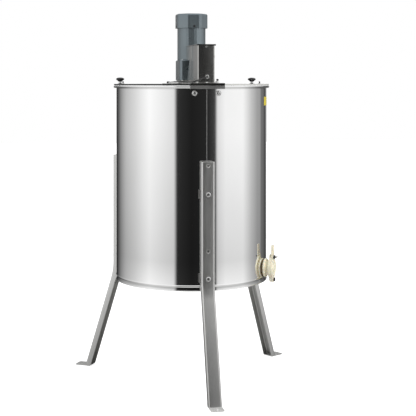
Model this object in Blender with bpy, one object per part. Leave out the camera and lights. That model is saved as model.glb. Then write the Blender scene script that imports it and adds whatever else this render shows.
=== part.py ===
"""Electric honey extractor.

A stainless drum stands on three bolted channel legs. A folded bridge across its rim carries a gear motor
and a control box. The motor turns a four-pocket frame basket, two hinged half-moon lids close the drum,
and a plastic honey gate drains it. Z is up, the drum's axis is the Z axis, the bridge lies along Y, and
the origin is the centre of the drum floor's flat underside pad.
"""
import math

import bmesh
import bpy
from mathutils import Matrix, Vector

# Clearance between pieces that touch
GAP = 0.0003

# Drum
DRUM_RADIUS = 0.250
WALL = 0.0012
DRUM_HEIGHT = 0.640
BOTTOM_Z = -0.028
RIM_Z = BOTTOM_Z + DRUM_HEIGHT
SEAM_Z = BOTTOM_Z + 0.016
RIM_BEAD = 0.004
RIM_REACH = 0.0095
FLOOR_SHEET = 0.0015
FLOOR_RADIUS = 0.2480
PAD_RADIUS = 0.060
DRUM_SEGMENTS = 48

# Legs
GROUND_Z = BOTTOM_Z - 0.324
LEG_WIDTH = 0.042
LEG_SHEET = 0.0025
LEG_DEPTH = 0.020
LEG_FACE = 0.276
LEG_TOP_Z = RIM_Z - 0.236
LEG_BEND_Z = RIM_Z - 0.628
FOOT_FACE = 0.380
FOOT_TIP = 0.418
LEG_BOLT_Z = (RIM_Z - 0.337, RIM_Z - 0.5975)
LEG_SPARE_Z = (RIM_Z - 0.248, RIM_Z - 0.512)
LEG_ANGLES = {"front": 0.0, "right": 120.0, "left": -120.0}

# Bridge and what stands on it, heights above the rim
BRIDGE_HALF = 0.055
BRIDGE_REACH = 0.264
BRIDGE_SHEET = 0.002
BRIDGE_TOP = RIM_Z + 0.0075
BRIDGE_BOLT_Z = RIM_Z - 0.024
BRIDGE_BOLT_ANGLE = 8.6
PLATE_TOP = RIM_Z + 0.0173
GEARBOX_TOP = RIM_Z + 0.085
MOTOR_TOP = RIM_Z + 0.190
CAP_TOP = RIM_Z + 0.238
GEARBOX_HALF = 0.0475
MOTOR_RADIUS = 0.047
CAP_APOTHEM = 0.0515

# Shaft and gears
SHAFT_RADIUS = 0.008
BORE_RADIUS = SHAFT_RADIUS + GAP
ROTOR_SHAFT_RADIUS = 0.0045
GEAR_MODULE = 0.0010
PINION_TEETH = 12
GEAR_TEETH = 36
LAY_Y = GEAR_MODULE * (PINION_TEETH + GEAR_TEETH) / 2

# Lids
LID_RADIUS = 0.258
LID_INNER_X = 0.0575
LID_BASE = RIM_Z + 0.0005
LID_SHEET = 0.0046
HINGE_X = 0.0595
HINGE_Z = RIM_Z + 0.0085
HINGE_HALF = 0.090

# Control box
BOX_HALF = 0.027
BOX_FRONT = -0.244
BOX_SPLIT = -0.136
BOX_REAR = -0.052
BOX_TOP = RIM_Z + 0.127
BOX_SHEET = 0.0015
SWITCH_PLACE = (-0.211, RIM_Z + 0.091)

# Basket
POCKET_HALF = 0.1205
POCKET_INNER = 0.149
POCKET_OUTER = 0.187
BASKET_BASE = 0.040
BASKET_TOP = 0.525
WIRE = 0.003
RING_RADIUS = 0.2305
SCREEN_LEVELS = 5
SCREEN_COLUMNS = 3

# Honey gate, modelled along +X and then turned to its place on the drum
GATE_ANGLE = -30.0
GATE_Z = BOTTOM_Z + 0.046
GATE_BORE = 0.0185
GATE_PIVOT_DROP = 0.037
GATE_STUD_RISE = 0.036

MATERIALS = {
    "stainless": ((0.74, 0.75, 0.76), 0.12, 1.0),
    "brushed": ((0.62, 0.62, 0.60), 0.32, 1.0),
    "bolt_steel": ((0.70, 0.70, 0.70), 0.22, 1.0),
    "motor_paint": ((0.20, 0.23, 0.25), 0.40, 0.0),
    "lid_plastic": ((0.75, 0.78, 0.80), 0.08, 0.0),
    "black_plastic": ((0.02, 0.02, 0.02), 0.45, 0.0),
    "gate_plastic": ((0.83, 0.76, 0.60), 0.45, 0.0),
    "seal_rubber": ((0.03, 0.03, 0.03), 0.75, 0.0),
    "gear_steel": ((0.45, 0.45, 0.44), 0.38, 1.0),
    "copper_winding": ((0.60, 0.30, 0.16), 0.35, 1.0),
    "board_green": ((0.05, 0.25, 0.12), 0.50, 0.0),
}


def clear_scene():
    for item in list(bpy.data.objects):
        bpy.data.objects.remove(item, do_unlink=True)


def material(name):
    found = bpy.data.materials.get(name)
    if found:
        return found
    color, roughness, metallic = MATERIALS[name]
    made = bpy.data.materials.new(name)
    made.use_nodes = True
    shader = made.node_tree.nodes["Principled BSDF"]
    shader.inputs["Base Color"].default_value = (*color, 1.0)
    shader.inputs["Roughness"].default_value = roughness
    shader.inputs["Metallic"].default_value = metallic
    return made


def add_object(name, content):
    item = bpy.data.objects.new(name, content)
    bpy.context.scene.collection.objects.link(item)
    return item


def mesh_from(bm):
    bmesh.ops.recalc_face_normals(bm, faces=bm.faces)
    mesh = bpy.data.meshes.new("piece")
    bm.to_mesh(mesh)
    bm.free()
    return mesh


def moved_mesh(mesh, matrix):
    mesh.transform(matrix)
    return mesh


def box_mesh(low, high):
    bm = bmesh.new()
    bmesh.ops.create_cube(bm, size=1.0)
    size = Vector(high) - Vector(low)
    middle = (Vector(high) + Vector(low)) / 2
    bmesh.ops.scale(bm, vec=size, verts=bm.verts)
    bmesh.ops.translate(bm, vec=middle, verts=bm.verts)
    return mesh_from(bm)


def lathe_mesh(profile, segments):
    """A closed (radius, z) outline turned about Z. Points at radius 0 become one point on the axis."""
    bm = bmesh.new()
    rings = []
    for radius, z in profile:
        if radius == 0.0:
            rings.append([bm.verts.new((0.0, 0.0, z))])
            continue
        angles = (2 * math.pi * k / segments for k in range(segments))
        rings.append([bm.verts.new((radius * math.cos(a), radius * math.sin(a), z)) for a in angles])
    for near, far in zip(rings, rings[1:] + rings[:1]):
        if len(near) == 1 and len(far) == 1:
            continue
        for k in range(segments):
            following = (k + 1) % segments
            corners = [near[k % len(near)], near[following % len(near)]]
            corners += [far[following % len(far)], far[k % len(far)]]
            bm.faces.new(list(dict.fromkeys(corners)))
    return mesh_from(bm)


def prism_mesh(outline, low, high):
    """An (x, y) outline extruded from z = low to z = high."""
    bm = bmesh.new()
    base = [bm.verts.new((x, y, low)) for x, y in outline]
    face = bm.faces.new(base)
    lifted = bmesh.ops.extrude_face_region(bm, geom=[face])["geom"]
    moved = [item for item in lifted if isinstance(item, bmesh.types.BMVert)]
    bmesh.ops.translate(bm, vec=(0.0, 0.0, high - low), verts=moved)
    return mesh_from(bm)


def side_prism_mesh(outline, low, high):
    """A (y, z) outline extruded from x = low to x = high."""
    turn_up = Matrix(((0, 0, 1, 0), (1, 0, 0, 0), (0, 1, 0, 0), (0, 0, 0, 1)))
    return moved_mesh(prism_mesh(outline, low, high), turn_up)


def cylinder_mesh(radius, low, high, segments=24):
    return lathe_mesh([(0.0, high), (radius, high), (radius, low), (0.0, low)], segments)


def toward_front(mesh):
    """Turn a mesh made along +Z so that its +Z points to -Y."""
    return moved_mesh(mesh, Matrix.Rotation(math.radians(90), 4, "X"))


def toward_right(mesh):
    """Turn a mesh made along +Z so that its +Z points to +X."""
    return moved_mesh(mesh, Matrix.Rotation(math.radians(90), 4, "Y"))


def triangulated(mesh):
    """The next Boolean step reads plain triangles more safely than faces with many corners."""
    bm = bmesh.new()
    bm.from_mesh(mesh)
    bmesh.ops.triangulate(bm, faces=bm.faces)
    bm.to_mesh(mesh)
    bm.free()
    return mesh


def combine(item, meshes, operation):
    """Join to, or cut from, an object each of the meshes in turn, with the result in its mesh."""
    for mesh in meshes:
        tool = add_object("tool", mesh)
        step = item.modifiers.new("step", "BOOLEAN")
        step.operation = operation
        step.solver = "EXACT"
        step.object = tool
        graph = bpy.context.evaluated_depsgraph_get()
        result = bpy.data.meshes.new_from_object(item.evaluated_get(graph))
        item.modifiers.clear()
        item.data = triangulated(result)
        bpy.data.objects.remove(tool, do_unlink=True)
    return item


def solid(name, meshes, finish, cuts=(), smooth=False):
    """One object: the first mesh, with the others joined to it and the cuts taken out."""
    item = add_object(name, meshes[0])
    combine(item, meshes[1:], "UNION")
    combine(item, cuts, "DIFFERENCE")
    mesh = item.data
    mesh.materials.clear()
    mesh.materials.append(material(finish))
    if smooth:
        mesh.shade_smooth()
        mesh.set_sharp_from_angle(angle=math.radians(35))
    return item


def turned_copy(name, source, degrees, lift=0.0):
    """Another object with the same mesh, turned about the drum's axis."""
    item = add_object(name, source.data)
    item.rotation_euler.z = math.radians(degrees)
    item.location.z = lift
    return item


def arc(cx, cy, radius, start, stop, steps):
    """Points on a circle from start to stop degrees, both ends included."""
    angles = (math.radians(start + (stop - start) * k / steps) for k in range(steps + 1))
    return [(cx + radius * math.cos(a), cy + radius * math.sin(a)) for a in angles]


def rounded_rectangle(half_x, half_y, radius, steps=3):
    points = []
    for sign_x, sign_y, start in ((1, 1, 0), (-1, 1, 90), (-1, -1, 180), (1, -1, 270)):
        cx = sign_x * (half_x - radius)
        cy = sign_y * (half_y - radius)
        points += arc(cx, cy, radius, start, start + 90, steps)
    return points


def rounded_octagon(apothem, radius, steps=2):
    """A regular octagon with a flat towards each row axis and its corners rounded."""
    points = []
    reach = (apothem - radius) / math.cos(math.radians(22.5))
    for k in range(8):
        middle = 22.5 + 45 * k
        cx = reach * math.cos(math.radians(middle))
        cy = reach * math.sin(math.radians(middle))
        points += arc(cx, cy, radius, middle - 22.5, middle + 22.5, steps)
    return points


def lofted_mesh(outlines):
    """A closed solid through outlines of equal length, each an ((x, y) points, z) pair, bottom first."""
    bm = bmesh.new()
    rings = [[bm.verts.new((x, y, z)) for x, y in points] for points, z in outlines]
    for near, far in zip(rings, rings[1:]):
        count = len(near)
        for k in range(count):
            bm.faces.new((near[k], near[(k + 1) % count], far[(k + 1) % count], far[k]))
    bm.faces.new(list(reversed(rings[0])))
    bm.faces.new(rings[-1])
    return mesh_from(bm)


def gear_outline(teeth, tooth_angle):
    """Straight-flanked teeth, one of them centred on tooth_angle degrees."""
    pitch_radius = GEAR_MODULE * teeth / 2
    root = pitch_radius - 1.15 * GEAR_MODULE
    tip = pitch_radius + 0.80 * GEAR_MODULE
    pitch = 360.0 / teeth
    points = []
    for k in range(teeth):
        middle = tooth_angle + k * pitch
        for radius, share in ((root, -0.27), (tip, -0.11), (tip, 0.11), (root, 0.27)):
            angle = math.radians(middle + share * pitch)
            points.append((radius * math.cos(angle), radius * math.sin(angle)))
    return points


def empty_on_axis(name, location):
    item = add_object(name, None)
    item.location = location
    return item


def hang_on(parent, items):
    """Parent the items to an empty without moving them."""
    for item in items:
        item.parent = parent
        item.matrix_parent_inverse = Matrix.Translation(parent.location).inverted()


# Drum

def make_drum_shell():
    # The rim is rolled into a flattened bead, wider than it is tall.
    bead_inner = DRUM_RADIUS + 0.0035
    bead_width = DRUM_RADIUS + RIM_REACH - bead_inner
    half_turn = arc(0, 0, 1, 90, -90, 4)
    bead = [(bead_inner + bead_width * x, RIM_Z - RIM_BEAD + RIM_BEAD * z) for x, z in half_turn]
    profile = [(DRUM_RADIUS - WALL, RIM_Z)] + bead
    profile += [(DRUM_RADIUS, RIM_Z - 2 * RIM_BEAD - 0.0012)]
    profile += [(DRUM_RADIUS, SEAM_Z + 0.003), (DRUM_RADIUS + 0.0014, SEAM_Z)]
    profile += [(DRUM_RADIUS, SEAM_Z - 0.003), (DRUM_RADIUS, BOTTOM_Z + 0.005)]
    profile += [(DRUM_RADIUS + 0.0014, BOTTOM_Z + 0.002), (DRUM_RADIUS + 0.0010, BOTTOM_Z)]
    profile += [(DRUM_RADIUS - WALL, BOTTOM_Z)]
    gate_hole = toward_right(cylinder_mesh(0.0213, 0.22, 0.28, 20))
    gate_hole = moved_mesh(gate_hole, Matrix.Translation((0, 0, GATE_Z)))
    gate_hole = moved_mesh(gate_hole, Matrix.Rotation(math.radians(GATE_ANGLE), 4, "Z"))
    cuts = [gate_hole] + [bridge_bolt_hole(angle) for angle in bridge_bolt_angles()]
    shell = lathe_mesh(profile, DRUM_SEGMENTS)
    return solid("drum_shell", [shell], "stainless", cuts, smooth=True)


def make_drum_floor():
    edge_z = SEAM_Z
    profile = [(0.0, FLOOR_SHEET), (PAD_RADIUS, FLOOR_SHEET), (FLOOR_RADIUS, edge_z + FLOOR_SHEET)]
    profile += [(FLOOR_RADIUS, edge_z), (PAD_RADIUS, 0.0), (0.0, 0.0)]
    return solid("drum_floor", [lathe_mesh(profile, DRUM_SEGMENTS)], "brushed", smooth=True)


# Legs

def leg_mesh():
    """A channel, open towards the drum, that bends out to a flat foot."""
    half = LEG_WIDTH / 2
    stations = [(LEG_TOP_Z, LEG_FACE), (LEG_BEND_Z, LEG_FACE)]
    stations.append((GROUND_Z + LEG_SHEET * 0.6, FOOT_FACE))
    bm = bmesh.new()
    rings = []
    for z, face in stations:
        section = [(-half, -face), (half, -face), (half, -face + LEG_DEPTH)]
        section += [(half - LEG_SHEET, -face + LEG_DEPTH), (half - LEG_SHEET, -face + LEG_SHEET)]
        section += [(-half + LEG_SHEET, -face + LEG_SHEET), (-half + LEG_SHEET, -face + LEG_DEPTH)]
        section += [(-half, -face + LEG_DEPTH)]
        rings.append([bm.verts.new((x, y, z)) for x, y in section])
    for near, far in zip(rings, rings[1:]):
        for k in range(8):
            bm.faces.new((near[k], near[(k + 1) % 8], far[(k + 1) % 8], far[k]))
    for ring in (rings[0], rings[-1]):
        bm.faces.new((ring[0], ring[1], ring[4], ring[5]))
        bm.faces.new((ring[1], ring[2], ring[3], ring[4]))
        bm.faces.new((ring[0], ring[5], ring[6], ring[7]))
    return mesh_from(bm)


def make_legs():
    half = LEG_WIDTH / 2
    corner = 0.005
    foot = [(half, -FOOT_FACE + 0.020), (-half, -FOOT_FACE + 0.020), (-half, -FOOT_TIP + corner)]
    foot += [(-half + corner, -FOOT_TIP), (half - corner, -FOOT_TIP), (half, -FOOT_TIP + corner)]
    foot_plate = prism_mesh(foot, GROUND_Z, GROUND_Z + LEG_SHEET)
    anchor_hole = cylinder_mesh(0.005, GROUND_Z - 0.01, GROUND_Z + 0.01, 12)
    anchor_hole = moved_mesh(anchor_hole, Matrix.Translation((0, -0.402, 0)))
    cuts = [anchor_hole]
    for z in LEG_BOLT_Z + LEG_SPARE_Z:
        hole = toward_front(cylinder_mesh(0.0043, LEG_FACE - 0.010, LEG_FACE + 0.010, 12))
        cuts.append(moved_mesh(hole, Matrix.Translation((0, 0, z))))
    first = solid("leg_front", [leg_mesh(), foot_plate], "brushed", cuts)
    turned_copy("leg_right", first, LEG_ANGLES["right"])
    turned_copy("leg_left", first, LEG_ANGLES["left"])


def make_leg_brackets():
    """One per leg, welded on the drum: two strap plates with tapped blocks, joined by a strip."""
    plate_face = -DRUM_RADIUS - 0.0033
    plate_back = -DRUM_RADIUS - GAP
    block_end = -LEG_FACE + LEG_SHEET + GAP
    upper_z, lower_z = LEG_BOLT_Z
    meshes = [box_mesh((-0.010, plate_face + 0.0002, lower_z), (0.010, plate_back - 0.0002, upper_z))]
    cuts = []
    for z in LEG_BOLT_Z:
        meshes.append(box_mesh((-0.0265, plate_face, z - 0.014), (0.0265, plate_back, z + 0.014)))
        meshes.append(box_mesh((-0.012, block_end, z - 0.010), (0.012, plate_face + 0.001, z + 0.010)))
        tapped = toward_front(cylinder_mesh(0.0041, 0.258, 0.285, 12))
        cuts.append(moved_mesh(tapped, Matrix.Translation((0, 0, z))))
    first = solid("leg_bracket_front", meshes, "brushed", cuts)
    turned_copy("leg_bracket_right", first, LEG_ANGLES["right"])
    turned_copy("leg_bracket_left", first, LEG_ANGLES["left"])


def bolt_mesh(head_radius, head_height, shank_radius, seat, end, segments=12):
    """A round-headed bolt along +Z: its head sits at seat and its shank ends at end, nearer the axis."""
    dome = [(head_radius, seat + head_height * 0.35), (head_radius * 0.72, seat + head_height * 0.85)]
    profile = [(0.0, seat + head_height)] + list(reversed(dome)) + [(head_radius, seat)]
    profile += [(shank_radius, seat), (shank_radius, end), (0.0, end)]
    return lathe_mesh(profile, segments)


def make_leg_bolts():
    bolt = toward_front(bolt_mesh(0.0085, 0.0055, 0.0036, LEG_FACE + GAP, 0.2605, 10))
    first = solid("bolt_source", [bolt], "bolt_steel", smooth=True)
    for side, angle in LEG_ANGLES.items():
        for level, z in zip(("upper", "lower"), LEG_BOLT_Z):
            turned_copy("leg_bolt_" + side + "_" + level, first, angle, z)
    bpy.data.objects.remove(first, do_unlink=True)


# Bridge

def bridge_bolt_angles():
    offset = BRIDGE_BOLT_ANGLE
    return (-offset, offset, 180 - offset, 180 + offset)


def bridge_bolt_hole(angle):
    hole = toward_front(cylinder_mesh(0.0036, 0.230, 0.258, 8))
    hole = moved_mesh(hole, Matrix.Translation((0, 0, BRIDGE_BOLT_Z)))
    return moved_mesh(hole, Matrix.Rotation(math.radians(angle), 4, "Z"))


def make_bridge():
    """A folded sheet: top, side flanges, end tabs inside the wall and end lips over the rim."""
    low = BRIDGE_TOP - BRIDGE_SHEET
    half = BRIDGE_HALF
    meshes = [box_mesh((-half, -BRIDGE_REACH, low), (half, BRIDGE_REACH, BRIDGE_TOP))]
    for sign in (-1, 1):
        side = sorted((sign * half, sign * (half - BRIDGE_SHEET)))
        meshes.append(box_mesh((side[0], -0.2390, RIM_Z - 0.014), (side[1], 0.2390, low + 0.001)))
        lip = sorted((sign * BRIDGE_REACH, sign * (BRIDGE_REACH - BRIDGE_SHEET)))
        meshes.append(box_mesh((-half, lip[0], RIM_Z - 0.0105), (half, lip[1], low + 0.001)))
        tab = sorted((sign * 0.2415, sign * 0.2395))
        meshes.append(box_mesh((-0.050, tab[0], RIM_Z - 0.040), (0.050, tab[1], low + 0.001)))
    cuts = [cylinder_mesh(0.0125, RIM_Z - 0.01, RIM_Z + 0.02, 24)]
    cuts += [bridge_bolt_hole(angle) for angle in bridge_bolt_angles()]
    solid("bridge", meshes, "stainless", cuts)


def make_bridge_bolts():
    bolt = toward_front(bolt_mesh(0.009, 0.0055, 0.0030, DRUM_RADIUS + GAP, 0.2385))
    first = solid("bolt_source", [bolt], "bolt_steel", smooth=True)
    names = ("front_left", "front_right", "rear_right", "rear_left")
    for name, angle in zip(names, bridge_bolt_angles()):
        turned_copy("bridge_bolt_" + name, first, angle, BRIDGE_BOLT_Z)
    bpy.data.objects.remove(first, do_unlink=True)


def make_bearings():
    cup_base = FLOOR_SHEET + GAP
    cup = [(0.0, cup_base + 0.002), (BORE_RADIUS, cup_base + 0.002), (BORE_RADIUS, 0.022), (0.016, 0.022)]
    cup += [(0.018, cup_base + 0.004), (0.030, cup_base + 0.004), (0.030, cup_base), (0.0, cup_base)]
    solid("lower_bearing_cup", [lathe_mesh(cup, 16)], "gear_steel", smooth=True)
    top = BRIDGE_TOP - BRIDGE_SHEET - GAP
    seat = [(BORE_RADIUS, top), (0.034, top), (0.034, top - 0.004), (0.020, top - 0.004)]
    seat += [(0.018, top - 0.022), (BORE_RADIUS, top - 0.022)]
    solid("upper_bearing", [lathe_mesh(seat, 16)], "gear_steel", smooth=True)


# Gear motor

def make_gear_motor():
    plate_low = BRIDGE_TOP + GAP
    plate = prism_mesh(rounded_rectangle(0.0425, 0.052, 0.008), plate_low, PLATE_TOP)
    plate_hole = cylinder_mesh(0.0125, plate_low - 0.01, PLATE_TOP + 0.01)
    solid("motor_plate", [plate], "brushed", [plate_hole])

    base = PLATE_TOP + GAP
    chamfer = 0.004
    outer = rounded_rectangle(GEARBOX_HALF, GEARBOX_HALF, 0.016)
    inner = rounded_rectangle(GEARBOX_HALF - chamfer, GEARBOX_HALF - chamfer, 0.012)
    housing = lofted_mesh([(outer, base), (outer, GEARBOX_TOP - chamfer), (inner, GEARBOX_TOP)])
    hollow_half = GEARBOX_HALF - 0.0038
    hollow = rounded_rectangle(hollow_half, hollow_half, 0.012)
    hollow = prism_mesh(hollow, base - 0.01, GEARBOX_TOP - 0.008)
    shaft_hole = cylinder_mesh(0.008, GEARBOX_TOP - 0.02, GEARBOX_TOP + 0.01)
    solid("gearbox_housing", [housing], "motor_paint", [hollow, shaft_hole], smooth=True)

    body_base = GEARBOX_TOP + GAP
    body = [(0.008, body_base), (0.008, body_base + 0.004), (MOTOR_RADIUS - 0.004, body_base + 0.004)]
    body += [(MOTOR_RADIUS - 0.004, MOTOR_TOP), (MOTOR_RADIUS, MOTOR_TOP), (MOTOR_RADIUS, body_base)]
    solid("motor_housing", [lathe_mesh(body, 32)], "motor_paint", smooth=True)

    cap_base = MOTOR_TOP + GAP
    rounding = 0.005
    wide = rounded_octagon(CAP_APOTHEM, 0.014)
    mid = rounded_octagon(CAP_APOTHEM - rounding * 0.3, 0.013)
    narrow = rounded_octagon(CAP_APOTHEM - rounding, 0.011)
    cap = lofted_mesh([(wide, cap_base), (wide, CAP_TOP - rounding),
                       (mid, CAP_TOP - rounding * 0.3), (narrow, CAP_TOP)])
    cap_hollow = cylinder_mesh(CAP_APOTHEM - 0.004, cap_base - 0.01, CAP_TOP - 0.004, 32)
    solid("motor_cap", [cap], "motor_paint", [cap_hollow], smooth=True)

    stator_low = RIM_Z + 0.100
    stator_high = RIM_Z + 0.165
    stator = [(0.030, stator_low), (0.042, stator_low), (0.042, stator_high), (0.030, stator_high)]
    solid("stator", [lathe_mesh(stator, 16)], "copper_winding", smooth=True)


def make_drive_train():
    """The output gear turns with the basket; the lay shaft and the rotor each turn on their own."""
    low = RIM_Z
    output_teeth = prism_mesh(gear_outline(GEAR_TEETH, 90), low + 0.024, low + 0.034)
    output_bore = cylinder_mesh(BORE_RADIUS, low, low + 0.06)
    output = solid("output_gear", [output_teeth], "gear_steel", [output_bore])

    lay_pinion = prism_mesh(gear_outline(PINION_TEETH, -75), low + 0.023, low + 0.035)
    lay_gear = prism_mesh(gear_outline(GEAR_TEETH, -85), low + 0.040, low + 0.048)
    lay_rod = cylinder_mesh(0.0040, PLATE_TOP + 2 * GAP, GEARBOX_TOP - 0.0085, 16)
    lay = solid("lay_shaft", [lay_rod, lay_pinion, lay_gear], "gear_steel")
    lay.location.y = LAY_Y

    core_low = low + 0.102
    rotor_rod = cylinder_mesh(ROTOR_SHAFT_RADIUS, low + 0.0372, low + 0.222, 16)
    pinion = prism_mesh(gear_outline(PINION_TEETH, 90), low + 0.039, low + 0.049)
    core = cylinder_mesh(0.0285, core_low, core_low + 0.061)
    rotor = solid("rotor", [rotor_rod, pinion, core], "gear_steel", smooth=True)
    bore = ROTOR_SHAFT_RADIUS + GAP
    hub_low = low + 0.200
    hub_high = low + 0.212
    hub = lathe_mesh([(bore, hub_low), (bore, hub_high), (0.012, hub_high), (0.012, hub_low)], 16)
    blades = []
    for k in range(6):
        blade = box_mesh((0.010, -0.001, hub_low + 0.001), (0.038, 0.001, hub_high - 0.001))
        blades.append(moved_mesh(blade, Matrix.Rotation(math.radians(60 * k), 4, "Z")))
    fan = solid("cooling_fan", [hub] + blades, "black_plastic")

    hang_on(empty_on_axis("lay_axis", (0, LAY_Y, low + 0.030)), [lay])
    hang_on(empty_on_axis("rotor_axis", (0, 0, low + 0.130)), [rotor, fan])
    return output


# Control box

def make_control_box():
    base = BRIDGE_TOP + GAP
    shoulder = RIM_Z + 0.083
    wall = BOX_SHEET
    outline = [(BOX_FRONT, base), (BOX_FRONT, BOX_TOP), (BOX_SPLIT, BOX_TOP), (BOX_SPLIT, shoulder)]
    outline += [(-0.104, shoulder), (-0.0595, base)]
    hollow = [(BOX_FRONT + wall, base + wall), (BOX_FRONT + wall, BOX_TOP + 0.01)]
    hollow += [(BOX_SPLIT - wall, BOX_TOP + 0.01), (BOX_SPLIT - wall, shoulder - wall)]
    hollow += [(-0.105, shoulder - wall), (-0.0625, base + wall)]
    gland_hole = toward_front(cylinder_mesh(0.0048, -BOX_FRONT - 0.01, -BOX_FRONT + 0.01, 16))
    gland_hole = moved_mesh(gland_hole, Matrix.Translation((0, 0, RIM_Z + 0.027)))
    knob_hole = toward_right(cylinder_mesh(0.0038, BOX_HALF - 0.01, BOX_HALF + 0.01, 16))
    knob_hole = moved_mesh(knob_hole, Matrix.Translation((0, -0.165, RIM_Z + 0.092)))
    switch_y = SWITCH_PLACE[0]
    switch_z = SWITCH_PLACE[1]
    bezel = box_mesh((BOX_HALF - 0.001, switch_y - 0.009, switch_z - 0.0135),
                     (BOX_HALF + 0.002, switch_y + 0.009, switch_z + 0.0135))
    window = box_mesh((BOX_HALF - 0.01, switch_y - 0.0050, switch_z - 0.0095),
                      (BOX_HALF + 0.01, switch_y + 0.0050, switch_z + 0.0095))
    cuts = [side_prism_mesh(hollow, wall - BOX_HALF, BOX_HALF - wall), gland_hole, knob_hole, window]
    solid("control_box", [side_prism_mesh(outline, -BOX_HALF, BOX_HALF), bezel], "brushed", cuts)

    hood_front = BOX_SPLIT + GAP
    hood = box_mesh((-BOX_HALF, hood_front, shoulder + GAP), (BOX_HALF, BOX_REAR, BOX_TOP))
    hood_hollow = box_mesh((-BOX_HALF + wall, hood_front - 0.01, shoulder + GAP + wall),
                           (BOX_HALF - wall, BOX_REAR - wall, BOX_TOP + 0.01))
    solid("wiring_hood", [hood], "brushed", [hood_hollow])

    cover_low = BOX_TOP + GAP
    edge = BOX_HALF + 0.003
    cover = box_mesh((-edge, BOX_FRONT - 0.003, cover_low), (edge, BOX_REAR, cover_low + wall))
    drop = box_mesh((-edge, BOX_FRONT - 0.003, cover_low - 0.003),
                    (edge, BOX_FRONT - 0.0015, cover_low + 0.0005))
    solid("control_box_cover", [cover, drop], "brushed")

    board = box_mesh((-0.018, -0.225, base + 0.008), (0.018, -0.150, base + 0.0096))
    heat_sink = box_mesh((-0.012, -0.195, base + 0.0090), (0.012, -0.170, base + 0.030))
    capacitor = cylinder_mesh(0.006, base + 0.009, base + 0.028, 16)
    capacitor = moved_mesh(capacitor, Matrix.Translation((0, -0.214, 0)))
    solid("speed_control_board", [board, heat_sink, capacitor], "board_green")


def make_controls():
    """The speed knob and the rocker switch on the box's right side."""
    face = BOX_HALF + GAP
    profile = [(0.0, face + 0.016), (0.0095, face + 0.016), (0.0110, face + 0.0145)]
    profile += [(0.0120, face + 0.002), (0.0120, face + 0.001), (0.0035, face + 0.001)]
    profile += [(0.0035, face - 0.010), (0.0, face - 0.010)]
    pointer = box_mesh((-0.0008, 0.003, face + 0.0155), (0.0008, 0.0095, face + 0.0168))
    meshes = [toward_front(toward_right(mesh)) for mesh in (lathe_mesh(profile, 14), pointer)]
    knob = solid("speed_knob", meshes, "black_plastic", smooth=True)
    knob_axis = empty_on_axis("speed_knob_axis", (BOX_HALF, -0.165, RIM_Z + 0.092))
    knob.parent = knob_axis
    knob.location.x = -BOX_HALF

    # The rocker is a shallow V: its two pads meet on the pivot's line and stand out on either side.
    pads = [(-0.0085, -0.0040), (0.0085, -0.0040), (0.0085, 0.0035), (0.0, 0.0018), (-0.0085, 0.0035)]
    stand_up = Matrix(((0, 1, 0, 0), (0, 0, 1, 0), (1, 0, 0, 0), (0, 0, 0, 1)))
    pads_mesh = moved_mesh(prism_mesh(pads, -0.0044, 0.0044), stand_up)
    rocker = solid("switch_rocker", [pads_mesh], "black_plastic")
    rocker.parent = empty_on_axis("switch_axis", (BOX_HALF, *SWITCH_PLACE))


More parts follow.
